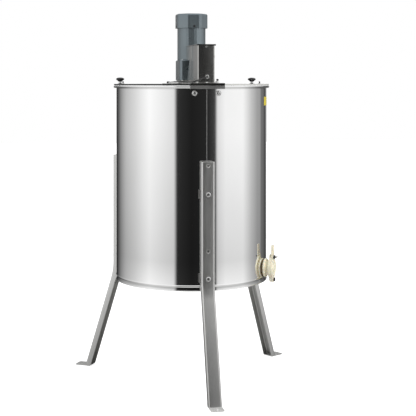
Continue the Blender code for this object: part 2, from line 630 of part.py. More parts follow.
def make_cord():
    """The supply cord: out of the gland, along the bridge's left side, over its rear end and down.

    Beside the motor it lies on the hinge's fixed leaf, under the gearbox's overhang.
    """
    gland_z = RIM_Z + 0.027
    seat = -BOX_FRONT + GAP
    profile = [(0.0036, seat - 0.008), (0.0036, seat + 0.014), (0.0060, seat + 0.014)]
    profile += [(0.0078, seat + 0.009), (0.0085, seat + 0.007), (0.0085, seat)]
    profile += [(0.0044, seat), (0.0044, seat - 0.008)]
    gland = moved_mesh(toward_front(lathe_mesh(profile, 16)), Matrix.Translation((0, 0, gland_z)))
    solid("cord_gland", [gland], "black_plastic", smooth=True)

    lie_z = BRIDGE_TOP + 0.0036
    leaf_z = BRIDGE_TOP + 0.0051
    points = [(0.0, -0.236, gland_z), (0.0, -0.252, gland_z), (0.0, -0.263, gland_z)]
    points += [(-0.007, -0.274, gland_z - 0.002)]
    points += [(-0.030, -0.266, gland_z - 0.011), (-0.0385, -0.240, lie_z + 0.001), (-0.037, -0.200, lie_z)]
    points += [(-0.0385, -0.104, leaf_z), (-0.0475, -0.064, leaf_z), (-0.0490, -0.030, leaf_z)]
    points += [(-0.0490, 0.030, leaf_z), (-0.0475, 0.064, leaf_z), (-0.0385, 0.104, leaf_z)]
    points += [(-0.036, 0.200, lie_z), (-0.036, 0.256, lie_z + 0.0012)]
    points += [(-0.036, 0.2678, BRIDGE_TOP + 0.0030), (-0.036, 0.2705, BRIDGE_TOP - 0.006)]
    points += [(-0.036, 0.2710, RIM_Z - 0.060), (-0.030, 0.2740, RIM_Z - 0.240)]
    curve = bpy.data.curves.new("cord_path", "CURVE")
    curve.dimensions = "3D"
    curve.resolution_u = 2
    curve.bevel_depth = 0.0029
    curve.bevel_resolution = 0
    curve.use_fill_caps = True
    spline = curve.splines.new("BEZIER")
    spline.bezier_points.add(len(points) - 1)
    for knot, place in zip(spline.bezier_points, points):
        knot.co = place
        knot.handle_left_type = "AUTO"
        knot.handle_right_type = "AUTO"
    guide = add_object("cord_guide", curve)
    graph = bpy.context.evaluated_depsgraph_get()
    mesh = bpy.data.meshes.new_from_object(guide.evaluated_get(graph))
    bpy.data.objects.remove(guide, do_unlink=True)
    bm = bmesh.new()
    bm.from_mesh(mesh)
    bmesh.ops.remove_doubles(bm, verts=bm.verts, dist=0.00005)
    solid("power_cord", [mesh_from(bm)], "seal_rubber", smooth=True)

    end_x, end_y, end_z = points[-1]
    low = end_z - 0.052
    grip = rounded_rectangle(0.013, 0.010, 0.004)
    neck = rounded_rectangle(0.006, 0.006, 0.004)
    meshes = [lofted_mesh([(grip, low), (grip, low + 0.030), (neck, end_z - GAP)])]
    for y in (-0.006, 0.006):
        meshes.append(box_mesh((-0.0008, y - 0.0032, low - 0.017), (0.0008, y + 0.0032, low + 0.002)))
    plug = solid("power_plug", meshes, "black_plastic", smooth=True)
    plug.location = (end_x, end_y, 0)


# Lids

def lid_outline():
    edge_angle = math.degrees(math.acos(LID_INNER_X / LID_RADIUS))
    return arc(0, 0, LID_RADIUS, -edge_angle, edge_angle, 28)


def make_lid(side, sign):
    """One half-moon lid with its knob and its hinge. sign is +1 on the right."""
    outline = [(sign * x, y) for x, y in lid_outline()]
    knob_x = sign * 0.229
    knob_y = 0.083
    hole = cylinder_mesh(0.0031, LID_BASE - 0.01, LID_BASE + 0.01, 12)
    hole = moved_mesh(hole, Matrix.Translation((knob_x, knob_y, 0)))
    top = LID_BASE + LID_SHEET
    sheet = prism_mesh(outline, LID_BASE, top)
    panel = solid("lid_" + side, [sheet], "lid_plastic", [hole], smooth=True)

    cap_low = top + 0.009
    profile = [(0.0, cap_low + 0.0130), (0.0060, cap_low + 0.0122), (0.0105, cap_low + 0.0092)]
    profile += [(0.0140, cap_low + 0.0050), (0.0130, cap_low + 0.0020), (0.0080, cap_low)]
    profile += [(0.0045, cap_low), (0.0045, top + 0.004), (0.0060, top + GAP), (0.0028, top + GAP)]
    profile += [(0.0028, LID_BASE + 0.0005), (0.0, LID_BASE + 0.0005)]
    knob = solid("lid_" + side + "_knob", [lathe_mesh(profile, 14)], "black_plastic", smooth=True)
    knob.location = (knob_x, knob_y, 0)

    leaf = make_hinge(side, sign)
    axis = empty_on_axis("lid_" + side + "_axis", (sign * HINGE_X, 0, HINGE_Z))
    hang_on(axis, [panel, knob, leaf])


def knuckle(radius, low, high, sign):
    """A short cylinder along Y on the lid's hinge axis."""
    lay_down = Matrix.Rotation(math.radians(-90), 4, "X")
    mesh = moved_mesh(cylinder_mesh(radius, low, high, 12), lay_down)
    return moved_mesh(mesh, Matrix.Translation((sign * HINGE_X, 0, HINGE_Z)))


def span_box(sign, x_near, x_far, y_low, y_high, z_low, z_high):
    xs = sorted((sign * x_near, sign * x_far))
    return box_mesh((xs[0], y_low, z_low), (xs[1], y_high, z_high))


def make_hinge(side, sign):
    """The fixed leaf, with its pin, on the bridge, and the moving leaf, which is returned, on the lid."""
    half = HINGE_HALF
    share = half / 3
    barrel = 0.0030
    leaf = 0.0014
    fixed_z = BRIDGE_TOP + GAP
    fixed = [span_box(sign, 0.0435, 0.0560, -half, half, fixed_z, fixed_z + leaf)]
    for low, high in ((-half, -share), (share, half)):
        fixed.append(span_box(sign, 0.0550, HINGE_X, low, high, fixed_z, fixed_z + leaf))
        fixed.append(knuckle(barrel, low, high, sign))
    fixed.append(knuckle(0.0014, -half - 0.001, half + 0.001, sign))
    solid(side + "_hinge_fixed", fixed, "bolt_steel")
    moving_z = LID_BASE + LID_SHEET + GAP
    inner = share - GAP
    moving = [span_box(sign, 0.0632, 0.0760, -half, half, moving_z, moving_z + leaf)]
    step_high = moving_z + leaf + 0.0006
    moving.append(span_box(sign, HINGE_X, 0.0640, -inner, inner, moving_z + 0.0002, step_high))
    moving.append(knuckle(barrel, -inner, inner, sign))
    bore = knuckle(0.0014 + GAP, -half, half, sign)
    return solid(side + "_hinge_moving", moving, "bolt_steel", [bore])


# Basket

def make_basket(output_gear):
    shaft_low = FLOOR_SHEET + 2 * GAP + 0.002
    rod = cylinder_mesh(SHAFT_RADIUS, shaft_low, RIM_Z + 0.0366, 24)
    pieces = [solid("basket_shaft", [rod], "bolt_steel", smooth=True), output_gear]

    ring_section = arc(RING_RADIUS, 0, 0.0035, 300, 0, 5)
    arm_half = 0.004
    spiders = (("basket_base", 0.0255, 0.0), ("basket_crown", BASKET_TOP + 0.0003, 45.0))
    for name, hub_low, arm_turn in spiders:
        hub_high = hub_low + 0.018
        hub = [(BORE_RADIUS, hub_high), (0.018, hub_high), (0.018, hub_low), (BORE_RADIUS, hub_low)]
        ring = [(radius, hub_low + 0.007 + z) for radius, z in ring_section]
        meshes = [lathe_mesh(hub, 16), lathe_mesh(ring, 36)]
        for k in range(4):
            arm = box_mesh((0.014, -arm_half, hub_low + 0.003), (RING_RADIUS, arm_half, hub_low + 0.011))
            meshes.append(moved_mesh(arm, Matrix.Rotation(math.radians(arm_turn + 90 * k), 4, "Z")))
        pieces.append(solid(name, meshes, "brushed"))

    first = solid("cage_source", cage_meshes(), "brushed")
    for k, name in enumerate(("front", "right", "rear", "left")):
        pieces.append(turned_copy("frame_cage_" + name, first, 90 * k))
    bpy.data.objects.remove(first, do_unlink=True)
    hang_on(empty_on_axis("basket_axis", (0, 0, 0.280)), pieces)


def cage_meshes():
    """Welded square wires round the front pocket: a close outer screen and an open inner guide."""
    half = POCKET_HALF
    low = BASKET_BASE
    high = BASKET_TOP
    outer = -POCKET_OUTER
    inner = -POCKET_INNER
    lap = WIRE / 2
    inset = 0.0006
    meshes = []
    for level in range(SCREEN_LEVELS):
        z = low + (high - low - WIRE) * level / (SCREEN_LEVELS - 1)
        meshes.append(box_mesh((-half - WIRE, outer - WIRE, z), (half + WIRE, outer, z + WIRE)))
    for column in range(SCREEN_COLUMNS):
        x = -half + (2 * half - WIRE) * (column + 0.5) / SCREEN_COLUMNS
        meshes.append(box_mesh((x, outer - WIRE - lap + 0.0002, low + 0.001),
                               (x + WIRE, outer - lap, high - 0.001)))
    for sign in (-1, 1):
        side = sorted((sign * half, sign * (half + WIRE)))
        for z in (low, (low + high - WIRE) / 2, high - WIRE):
            meshes.append(box_mesh((side[0], outer - lap, z + 0.0004),
                                   (side[1], inner + WIRE, z + WIRE - 0.0004)))
        edge = sorted((sign * (half - 0.018), sign * (half + WIRE - inset)))
        meshes.append(box_mesh((edge[0], inner + 0.0004, low + 0.0008),
                               (edge[1], inner + WIRE - 0.0004, low + WIRE)))
        post = sorted((sign * (half - inset), sign * (half + WIRE - 0.0009)))
        meshes.append(box_mesh((post[0], inner + inset, low + inset),
                               (post[1], inner + WIRE - 0.0002, high - inset)))
    for x in (-0.060, 0.060 - WIRE):
        meshes.append(box_mesh((x, outer - lap, low + 0.0004),
                               (x + WIRE, inner + WIRE, low + WIRE - 0.0004)))
    meshes.append(box_mesh((-half, inner + 0.0002, low + inset),
                           (half, inner + WIRE - inset, low + WIRE - inset)))
    return meshes


# Honey gate

def gate_face_outline(radius, lobe_radius):
    """A (y, z) outline: a disc with a rounded lug below, round the pivot, and one above, round the stud."""
    points = arc(0, 0, radius, -60, 60, 8)
    points += arc(0, GATE_STUD_RISE, lobe_radius, 0, 180, 6)
    points += arc(0, 0, radius, 120, 240, 8)
    points += arc(0, -GATE_PIVOT_DROP, lobe_radius, 180, 360, 6)
    return points


def gate_flap_outline(radius, lobe_radius):
    """A (y, z) outline: a disc with the pivot's lug below and a handle above, notched for the stud."""
    handle_left = -0.0120
    handle_right = 0.0060
    tab_right = 0.0085
    notch_low = GATE_STUD_RISE - 0.0048
    notch_high = GATE_STUD_RISE + 0.0036
    handle_top = 0.075
    points = arc(0, 0, radius, -60, 70, 8)
    points += [(tab_right, notch_low), (-0.0036, notch_low)]
    points += [(-0.0036, notch_high), (tab_right, notch_high)]
    points += [(tab_right, notch_high + 0.004), (handle_right, notch_high + 0.007)]
    points += arc(handle_right - 0.004, handle_top - 0.004, 0.004, 0, 90, 2)
    points += arc(handle_left + 0.004, handle_top - 0.004, 0.004, 90, 180, 2)
    points += [(handle_left, 0.0310)]
    points += arc(0, 0, radius, 120, 240, 8)
    points += arc(0, -GATE_PIVOT_DROP, lobe_radius, 180, 360, 6)
    return points


def gate_cylinder(radius, low, high, z=0.0, segments=20):
    mesh = toward_right(cylinder_mesh(radius, low, high, segments))
    return moved_mesh(mesh, Matrix.Translation((0, 0, z)))


def place_gate(item):
    item.location.z = GATE_Z
    item.rotation_euler.z = math.radians(GATE_ANGLE)


def hang_on_gate(item, axis_name, reach, height):
    """Hang a piece made in the gate's frame on an empty that stands on the piece's turning axis."""
    direction = Matrix.Rotation(math.radians(GATE_ANGLE), 4, "Z")
    axis = empty_on_axis(axis_name, direction @ Vector((reach, 0, GATE_Z + height)))
    axis.rotation_euler.z = math.radians(GATE_ANGLE)
    item.parent = axis
    item.location = (-reach, 0, -height)


def make_honey_gate():
    wall = DRUM_RADIUS + GAP
    gasket_low = wall + 0.0002
    gasket_high = wall + 0.0022
    section = [(0.0216, gasket_high), (0.0266, gasket_high), (0.0266, gasket_low), (0.0216, gasket_low)]
    gasket = toward_right(lathe_mesh(section, 20))
    place_gate(solid("gate_gasket", [gasket], "seal_rubber", smooth=True))

    flange = gate_cylinder(0.030, wall + 0.0025, wall + 0.0095)
    neck = gate_cylinder(0.0225, wall + 0.0085, wall + 0.0220)
    spigot = gate_cylinder(0.0208, DRUM_RADIUS - 0.0125, wall + 0.0035)
    face_low = wall + 0.0200
    face_high = wall + 0.0270
    stud = gate_cylinder(0.0028, face_low + 0.002, face_high + 0.0176, GATE_STUD_RISE, 12)
    face = side_prism_mesh(gate_face_outline(0.032, 0.0085), face_low, face_high)
    meshes = [face, neck, flange, spigot, stud]
    cuts = [gate_cylinder(GATE_BORE, DRUM_RADIUS - 0.04, face_high + 0.01)]
    cuts.append(gate_cylinder(0.0031, face_low - 0.004, face_high + 0.01, -GATE_PIVOT_DROP, 12))
    place_gate(solid("gate_body", meshes, "gate_plastic", cuts, smooth=True))

    nut = gate_cylinder(0.027, DRUM_RADIUS - 0.0105, DRUM_RADIUS - 0.0040, segments=6)
    nut_hole = gate_cylinder(0.0211, DRUM_RADIUS - 0.04, DRUM_RADIUS)
    place_gate(solid("gate_inner_nut", [nut], "gate_plastic", [nut_hole]))

    flap_low = face_high + GAP
    flap_high = flap_low + 0.0058
    plate = side_prism_mesh(gate_flap_outline(0.031, 0.0085), flap_low, flap_high)
    boss = gate_cylinder(0.012, flap_high - 0.001, flap_high + 0.003, segments=16)
    pivot_hole = gate_cylinder(0.0031, flap_low - 0.01, flap_high + 0.01, -GATE_PIVOT_DROP, 12)
    flap = solid("gate_flap", [plate, boss], "gate_plastic", [pivot_hole], smooth=True)

    screw = bolt_mesh(0.0058, 0.0042, 0.0028, flap_high + GAP, face_low - 0.002)
    screw = moved_mesh(toward_right(screw), Matrix.Translation((0, 0, -GATE_PIVOT_DROP)))
    place_gate(solid("gate_pivot_screw", [screw], "bolt_steel", smooth=True))
    nut_low = flap_high + GAP
    stud_z = GATE_STUD_RISE
    meshes = [gate_cylinder(0.0065, nut_low, nut_low + 0.0055, stud_z, 16)]
    for sign in (-1, 1):
        near, far = sorted((sign * 0.0040, sign * 0.0150))
        meshes.append(box_mesh((nut_low + 0.0015, near, stud_z - 0.0014),
                               (nut_low + 0.0100, far, stud_z + 0.0014)))
    threads = gate_cylinder(0.0031, nut_low - 0.01, nut_low + 0.02, stud_z, 12)
    wing_nut = solid("gate_wing_nut", meshes, "black_plastic", [threads])

    hang_on_gate(flap, "gate_flap_axis", flap_low, -GATE_PIVOT_DROP)
    hang_on_gate(wing_nut, "gate_wing_nut_axis", flap_low, stud_z)


def build():
    clear_scene()
    make_drum_shell()
    make_drum_floor()
    make_legs()
    make_leg_brackets()
    make_leg_bolts()
    make_bridge()
    make_bridge_bolts()
    make_bearings()
    make_gear_motor()
    output_gear = make_drive_train()
    make_control_box()
    make_controls()
    make_cord()
    make_lid("left", -1)
    make_lid("right", 1)
    make_basket(output_gear)
    make_honey_gate()
    bpy.context.view_layer.update()


build()
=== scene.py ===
"""Looks for the electric honey extractor: fine detail, finishes, light and camera."""
import math

import bmesh
import bpy
from mathutils import Matrix, Vector


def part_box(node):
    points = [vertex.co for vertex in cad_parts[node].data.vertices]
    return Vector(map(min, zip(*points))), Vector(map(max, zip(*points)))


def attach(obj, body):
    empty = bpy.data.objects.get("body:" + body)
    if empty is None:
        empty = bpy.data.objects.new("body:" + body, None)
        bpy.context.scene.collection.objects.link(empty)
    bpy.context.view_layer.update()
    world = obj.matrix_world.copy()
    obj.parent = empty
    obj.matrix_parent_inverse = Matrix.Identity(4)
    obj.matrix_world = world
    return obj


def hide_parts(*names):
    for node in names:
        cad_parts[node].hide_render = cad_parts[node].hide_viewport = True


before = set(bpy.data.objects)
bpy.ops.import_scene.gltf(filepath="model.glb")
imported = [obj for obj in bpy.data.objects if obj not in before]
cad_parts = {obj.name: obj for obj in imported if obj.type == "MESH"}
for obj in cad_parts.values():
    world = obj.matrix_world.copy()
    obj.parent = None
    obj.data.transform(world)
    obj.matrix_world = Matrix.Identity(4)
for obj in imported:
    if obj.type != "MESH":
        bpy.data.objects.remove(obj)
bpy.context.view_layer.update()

# Boxes of CAD nodes, from the frame
SHELL_LOW, SHELL_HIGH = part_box("drum_shell")
LEG_LOW, LEG_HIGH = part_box("leg_front")
COVER_LOW, COVER_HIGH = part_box("control_box_cover")
BOX_LOW, BOX_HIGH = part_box("control_box")
CAP_LOW, CAP_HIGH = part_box("motor_cap")
LID_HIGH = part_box("lid_right")[1]
BRIDGE_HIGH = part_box("bridge")[1]

# Drum
RIM_Z = SHELL_HIGH.z
BOTTOM_Z = SHELL_LOW.z
ROLL_RADIUS = 0.004
ROLL_REACH = 0.0095
DRUM_RADIUS = SHELL_HIGH.x - ROLL_REACH
WALL = 0.0012
SEAM_Z = BOTTOM_Z + 0.016
BEAD_RISE = 0.0014
DRUM_STEPS = 192

# Legs
GROUND_Z = LEG_LOW.z
LEG_TOP_Z = LEG_HIGH.z
LEG_HALF = 0.021
LEG_DEPTH = 0.020
LEG_SHEET = 0.0025
LEG_CORNER = 0.0064
LEG_FACE = DRUM_RADIUS + 0.026
LEG_BEND_Z = BOTTOM_Z + 0.012
FOOT_FACE = 0.380
FOOT_TIP = -LEG_LOW.y
LEG_TURNS = {"front": 0.0, "right": 120.0, "left": -120.0}
LEG_BEND_REACH = 0.030
# Heights between which the satin steel's painted shade darkens it towards the floor
FLOOR_SHADE_HEIGHTS = (-0.35, -0.06)
SPARE_HOLE_DROPS = (0.248, 0.512)
FOOT_CORNER = 0.0076
FOOT_TUCK = 0.018
ANCHOR_RADIUS = 0.005
ANCHOR_REACH = 0.402

# Blank label: its height below the rim, and its place round the drum in degrees from +X
LABEL_DROPS = (0.065, 0.037)
LABEL_START = -29.5
LABEL_SPAN = 24.5
LABEL_FILM = 0.0004

# Fittings
BUTTON_RADIUS = 0.0075
LEG_BUTTON_HEIGHT = 0.0046
BRIDGE_BUTTON_HEIGHT = 0.0052
STUD_PLACES = (0.082, 0.2315)
STUD_Y = -0.012
RIVET_PLACES = (-0.075, -0.045, 0.045, 0.075)
FIXED_RIVET_X = 0.0495
MOVING_RIVET_X = 0.0710
GEARBOX_SCREW_REACH = 0.037
BRIDGE_PIN_PLACE = (0.0350, -0.246)
BOX_REAR_SHOULDER_Y = -0.104
KNOB_STEPS = 96
KNOB_FLUTES = 16

# Gate: made along +Z with up at -X, then laid on its place
GATE_TURN = -30.0
GATE_Z = sum(corner.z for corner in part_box("gate_gasket")) / 2
GATE_HOLE_RADIUS = 0.0213
GATE_BORE = 0.0185
GATE_DISC = 0.032
GATE_LUG = 0.0085
GATE_PIVOT = -0.037
GATE_STUD = 0.036
GATE_FACE = (DRUM_RADIUS + 0.0203, DRUM_RADIUS + 0.0273)
GATE_FLAP = (DRUM_RADIUS + 0.0276, DRUM_RADIUS + 0.0334)
FLAP_RADIUS = 0.031

# Camera: the photograph's place, looking level, with the lens shifted down
CAMERA_AZIMUTH = -11.0
CAMERA_DISTANCE = 3.5
LENS = 90.6
LENS_SHIFT = (0.0399, -0.2945)


# Node helpers

def give(tree, socket, value):
    """Sets a socket to a value, or links it from another node's output."""
    if isinstance(value, bpy.types.NodeSocket):
        tree.links.new(value, socket)
    else:
        socket.default_value = value


def add_node(tree, kind, inputs=None, **settings):
    """A shader node; each input is a value, or another node's output to link from."""
    made = tree.nodes.new(kind)
    for name, value in settings.items():
        setattr(made, name, value)
    for name, value in (inputs or {}).items():
        give(tree, made.inputs[name], value)
    return made


def feed(tree, shader, **inputs):
    """Sets or links a shader's inputs, with _ for each space in their names."""
    for name, value in inputs.items():
        give(tree, shader.inputs[name.replace("_", " ")], value)


def math_node(tree, operation, first, second=0.0, third=0.0):
    inputs = {0: first, 1: second, 2: third}
    return add_node(tree, "ShaderNodeMath", inputs, operation=operation).outputs[0]


def own_place(tree):
    """Coordinates in the object's own frame, which go with it to every pose."""
    return add_node(tree, "ShaderNodeTexCoord").outputs["Object"]


def along(tree, vector, axis):
    """One component of a vector."""
    return add_node(tree, "ShaderNodeSeparateXYZ", {"Vector": vector}).outputs[axis]


def scaled(tree, vector, factor):
    inputs = {0: vector, "Scale": factor}
    return add_node(tree, "ShaderNodeVectorMath", inputs, operation="SCALE").outputs[0]


def light_path(tree, kind):
    """1 for rays of one kind, such as Is Camera Ray."""
    return add_node(tree, "ShaderNodeLightPath").outputs[kind]


def mixed(tree, share, first, second):
    """A mix of two shaders."""
    inputs = {0: share, 1: first, 2: second}
    return add_node(tree, "ShaderNodeMixShader", inputs).outputs[0]


def noise(tree, scale, stretch=(1.0, 1.0, 1.0), detail=4.0):
    """Noise in the object's frame; stretch scales each axis, so that streaks can run one way."""
    mapping = add_node(tree, "ShaderNodeMapping", {"Vector": own_place(tree), "Scale": stretch})
    inputs = {"Vector": mapping.outputs[0], "Scale": scale, "Detail": detail, "Roughness": 0.55}
    return add_node(tree, "ShaderNodeTexNoise", inputs).outputs["Fac"]


def spread(tree, value, low, high, span=(0.3, 0.7)):
    """Maps a span of values to low..high; the span is the usual range of a noise if none is given."""
    inputs = {"Value": value, "From Min": span[0], "From Max": span[1], "To Min": low, "To Max": high}
    return add_node(tree, "ShaderNodeMapRange", inputs).outputs[0]


def ease(tree, value, start, stop):
    """A smooth step from 0 at start to 1 at stop."""
    inputs = {"Value": value, "From Min": start, "From Max": stop}
    return add_node(tree, "ShaderNodeMapRange", inputs, interpolation_type="SMOOTHSTEP").outputs[0]


def blend(tree, share, first, second):
    """A colour from first to second; each is (r, g, b), or another node's output."""
    ends = [end if isinstance(end, bpy.types.NodeSocket) else (*end, 1.0) for end in (first, second)]
    inputs = {"Factor": share, 6: ends[0], 7: ends[1]}
    return add_node(tree, "ShaderNodeMix", inputs, data_type="RGBA").outputs[2]


def mottle(tree, pattern, dark, light):
    """A colour that follows a noise from dark to light."""
    return blend(tree, spread(tree, pattern, 0.0, 1.0), dark, light)


def bump(tree, height, strength, distance, below=None):
    inputs = {"Height": height, "Strength": strength, "Distance": distance}
    if below:
        inputs["Normal"] = below
    return add_node(tree, "ShaderNodeBump", inputs).outputs[0]


def edge_factor(tree):
    """1 on outer edges and 0 on flats, from the mesh's own curvature."""
    pointiness = add_node(tree, "ShaderNodeNewGeometry").outputs["Pointiness"]
    return spread(tree, pointiness, 0.0, 1.0, (0.52, 0.60))


def new_finish(name):
    """An empty node material and its Principled shader."""
    made = bpy.data.materials.new(name)
    made.use_nodes = True
    return made, made.node_tree, made.node_tree.nodes["Principled BSDF"]


# Finishes

def mirror_steel():
    """Polished sheet: nearly a mirror, with faint rolling streaks, haze and a slow ripple."""
    made, tree, shader = new_finish("polished_stainless")
    streaks = noise(tree, 60.0, (1.0, 1.0, 0.02), 3.0)
    haze = noise(tree, 5.0, (1.0, 1.0, 0.6), 5.0)
    ripple = noise(tree, 3.5, (1.0, 1.0, 0.25), 1.0)
    smear = math_node(tree, "MULTIPLY_ADD", streaks, 0.6, math_node(tree, "MULTIPLY", haze, 0.4))
    colour = mottle(tree, haze, (0.90, 0.90, 0.895), (0.94, 0.94, 0.94))
    normal = bump(tree, ripple, 0.04, 0.01)
    normal = bump(tree, streaks, 0.02, 0.0004, normal)
    feed(tree, shader, Base_Color=colour, Metallic=1.0, Normal=normal)
    feed(tree, shader, Roughness=spread(tree, smear, 0.035, 0.10))
    return made


def satin_steel(name, light, rough, direction, relief=0.035, floor_shade_share=None):
    """Brushed sheet: fine lines along one axis, patchy roughness and brighter edges.
    With a floor share the colour darkens to that share of itself down to the floor: painted shade, as on
    the legs."""
    made, tree, shader = new_finish(name)
    across = [0.03 if axis == direction else 1.0 for axis in "xyz"]
    lines = noise(tree, 420.0, across, 2.0)
    patches = noise(tree, 14.0, (1.0, 1.0, 0.5), 4.0)
    shade = math_node(tree, "MULTIPLY_ADD", lines, 0.5, math_node(tree, "MULTIPLY", patches, 0.5))
    colour = mottle(tree, shade, tuple(0.92 * level for level in light), light)
    # Painted shade: the colour darkens towards the floor
    if floor_shade_share:
        height = along(tree, own_place(tree), "Z")
        colour = scaled(tree, colour, spread(tree, height, floor_shade_share, 1.0, FLOOR_SHADE_HEIGHTS))
    rub = math_node(tree, "MULTIPLY", edge_factor(tree), -0.08)
    roughness = math_node(tree, "ADD", spread(tree, shade, rough * 0.85, rough * 1.18), rub)
    feed(tree, shader, Base_Color=colour, Metallic=1.0, Roughness=roughness)
    feed(tree, shader, Normal=bump(tree, lines, relief, 0.0003))
    return made


def bolt_steel():
    """Turned and plated steel with tiny scuffs."""
    made, tree, shader = new_finish("zinc_plated_steel")
    scuffs = noise(tree, 260.0, detail=6.0)
    cloud = noise(tree, 40.0)
    colour = mottle(tree, cloud, (0.62, 0.62, 0.61), (0.80, 0.80, 0.80))
    feed(tree, shader, Base_Color=colour, Metallic=1.0, Roughness=spread(tree, scuffs, 0.12, 0.30))
    feed(tree, shader, Normal=bump(tree, scuffs, 0.08, 0.0003))
    return made


def motor_paint():
    """Blue-grey machine enamel with orange peel, dusty patches and rubbed edges."""
    made, tree, shader = new_finish("blue_grey_enamel")
    peel = noise(tree, 520.0, detail=2.0)
    dust = noise(tree, 22.0, detail=6.0)
    colour = mottle(tree, dust, (0.108, 0.152, 0.184), (0.142, 0.192, 0.228))
    rubbed = blend(tree, edge_factor(tree), colour, (0.20, 0.24, 0.26))
    feed(tree, shader, Base_Color=rubbed, Roughness=spread(tree, dust, 0.26, 0.36))
    feed(tree, shader, Metallic=0.72, Coat_Weight=0.5, Coat_Roughness=0.16)
    feed(tree, shader, Normal=bump(tree, peel, 0.16, 0.0004))
    return made


def moulded_plastic(name, dark, light, rough, grain_scale, grain_strength, shine=0.5):
    """Spark-textured moulded plastic with slight flow marks and polished edges."""
    made, tree, shader = new_finish(name)
    grain = noise(tree, grain_scale, detail=3.0)
    flow = noise(tree, 30.0, (1.0, 1.0, 0.4), 4.0)
    colour = mottle(tree, flow, dark, light)
    rub = math_node(tree, "MULTIPLY", edge_factor(tree), -0.10)
    feed(tree, shader, Base_Color=colour, Normal=bump(tree, grain, grain_strength, 0.0004))
    feed(tree, shader, Roughness=math_node(tree, "ADD", spread(tree, grain, rough, rough * 1.25), rub))
    feed(tree, shader, Specular_IOR_Level=shine)
    return made


def ivory_nylon():
    """Cream moulded nylon, slightly translucent."""
    dark = (0.86, 0.80, 0.62)
    light = (0.93, 0.88, 0.72)
    made = moulded_plastic("ivory_nylon", dark, light, 0.34, 700.0, 0.10)
    tree = made.node_tree
    shader = tree.nodes["Principled BSDF"]
    feed(tree, shader, Subsurface_Weight=0.20, Subsurface_Radius=(0.004, 0.003, 0.002))
    feed(tree, shader, Subsurface_Scale=1.0)
    return made


def clear_acrylic():
    """Clear sheet with hairline scratches, whose shadow is only a tint, and a dull sawn edge."""
    made, tree, shader = new_finish("clear_acrylic")
    scratches = noise(tree, 90.0, (1.0, 0.05, 1.0), 6.0)
    colour = mottle(tree, noise(tree, 6.0), (0.95, 0.97, 0.975), (0.99, 0.995, 0.995))
    feed(tree, shader, Base_Color=colour, Transmission_Weight=1.0, IOR=1.49)
    feed(tree, shader, Roughness=spread(tree, scratches, 0.0, 0.03))
    feed(tree, shader, Normal=bump(tree, scratches, 0.004, 0.0002))
    through = add_node(tree, "ShaderNodeBsdfTransparent", {"Color": (0.93, 0.95, 0.95, 1.0)})
    clear = mixed(tree, light_path(tree, "Is Shadow Ray"), shader.outputs[0], through.outputs[0])
    # The sawn edge is painted dark on the left lid, as painted shade, and pale on the right one, as
    # painted light, with a trace of the scratches
    sawn = add_node(tree, "ShaderNodeBsdfPrincipled", {"Roughness": 0.42})
    right = spread(tree, along(tree, own_place(tree), "X"), 0.0, 1.0, (0.0, 0.05))
    painted_light_and_scratches = math_node(tree, "MULTIPLY_ADD", scratches, 0.08, math_node(tree, "MULTIPLY", right, 0.92))
    feed(tree, sawn, Base_Color=blend(tree, painted_light_and_scratches, (0.006, 0.007, 0.006), (0.50, 0.50, 0.48)))
    # The edge's normals lie in the sheet's own plane, whichever way the lid stands
    facing = add_node(tree, "ShaderNodeNewGeometry").outputs["True Normal"]
    facing = add_node(tree, "ShaderNodeVectorTransform", {"Vector": facing},
                      vector_type="NORMAL", convert_from="WORLD", convert_to="OBJECT").outputs[0]
    upright = math_node(tree, "ABSOLUTE", along(tree, facing, "Z"))
    edge = math_node(tree, "LESS_THAN", upright, 0.5)
    sheet = mixed(tree, edge, clear, sawn.outputs[0])
    tree.links.new(sheet, tree.nodes["Material Output"].inputs[0])
    return made


def machined_steel():
    """Cut gear steel with tool marks and a film of grease."""
    made, tree, shader = new_finish("machined_steel")
    marks = noise(tree, 300.0, (1.0, 1.0, 6.0), 3.0)
    film = noise(tree, 35.0, detail=5.0)
    colour = mottle(tree, film, (0.36, 0.35, 0.33), (0.55, 0.55, 0.54))
    feed(tree, shader, Base_Color=colour, Metallic=1.0, Roughness=spread(tree, film, 0.26, 0.46))
    feed(tree, shader, Normal=bump(tree, marks, 0.15, 0.0003))
    return made


def copper_winding():
    """Enamelled wire: close turns with a varnish sheen."""
    made, tree, shader = new_finish("enamelled_copper")
    inputs = {"Vector": own_place(tree), "Scale": 220.0, "Distortion": 1.5}
    turns = add_node(tree, "ShaderNodeTexWave", inputs, bands_direction="Z")
    colour = blend(tree, turns.outputs["Fac"], (0.35, 0.13, 0.05), (0.72, 0.34, 0.16))
    feed(tree, shader, Base_Color=colour, Metallic=0.9, Roughness=0.32, Coat_Weight=0.4)
    feed(tree, shader, Normal=bump(tree, turns.outputs["Fac"], 0.5, 0.0006))
    return made


def circuit_board():
    """Green solder mask with faint track relief."""
    made, tree, shader = new_finish("green_solder_mask")
    inputs = {"Vector": own_place(tree), "Scale": 260.0}
    tracks = add_node(tree, "ShaderNodeTexVoronoi", inputs, feature="F1", distance="CHEBYCHEV")
    edge = spread(tree, tracks.outputs["Distance"], 0.0, 1.0, (0.30, 0.36))
    colour = blend(tree, edge, (0.02, 0.14, 0.06), (0.05, 0.26, 0.11))
    feed(tree, shader, Base_Color=colour, Roughness=0.35, Normal=bump(tree, edge, 0.3, 0.0002))
    return made


def label_film():
    """Plain yellow laminated film, a little dusty."""
    made, tree, shader = new_finish("yellow_film")
    print_grain = noise(tree, 900.0, detail=2.0)
    fade = noise(tree, 45.0, detail=4.0)
    colour = mottle(tree, fade, (0.68, 0.54, 0.045), (0.76, 0.63, 0.075))
    feed(tree, shader, Base_Color=colour, Roughness=spread(tree, print_grain, 0.32, 0.42))
    feed(tree, shader, Normal=bump(tree, print_grain, 0.05, 0.0002))
    return made


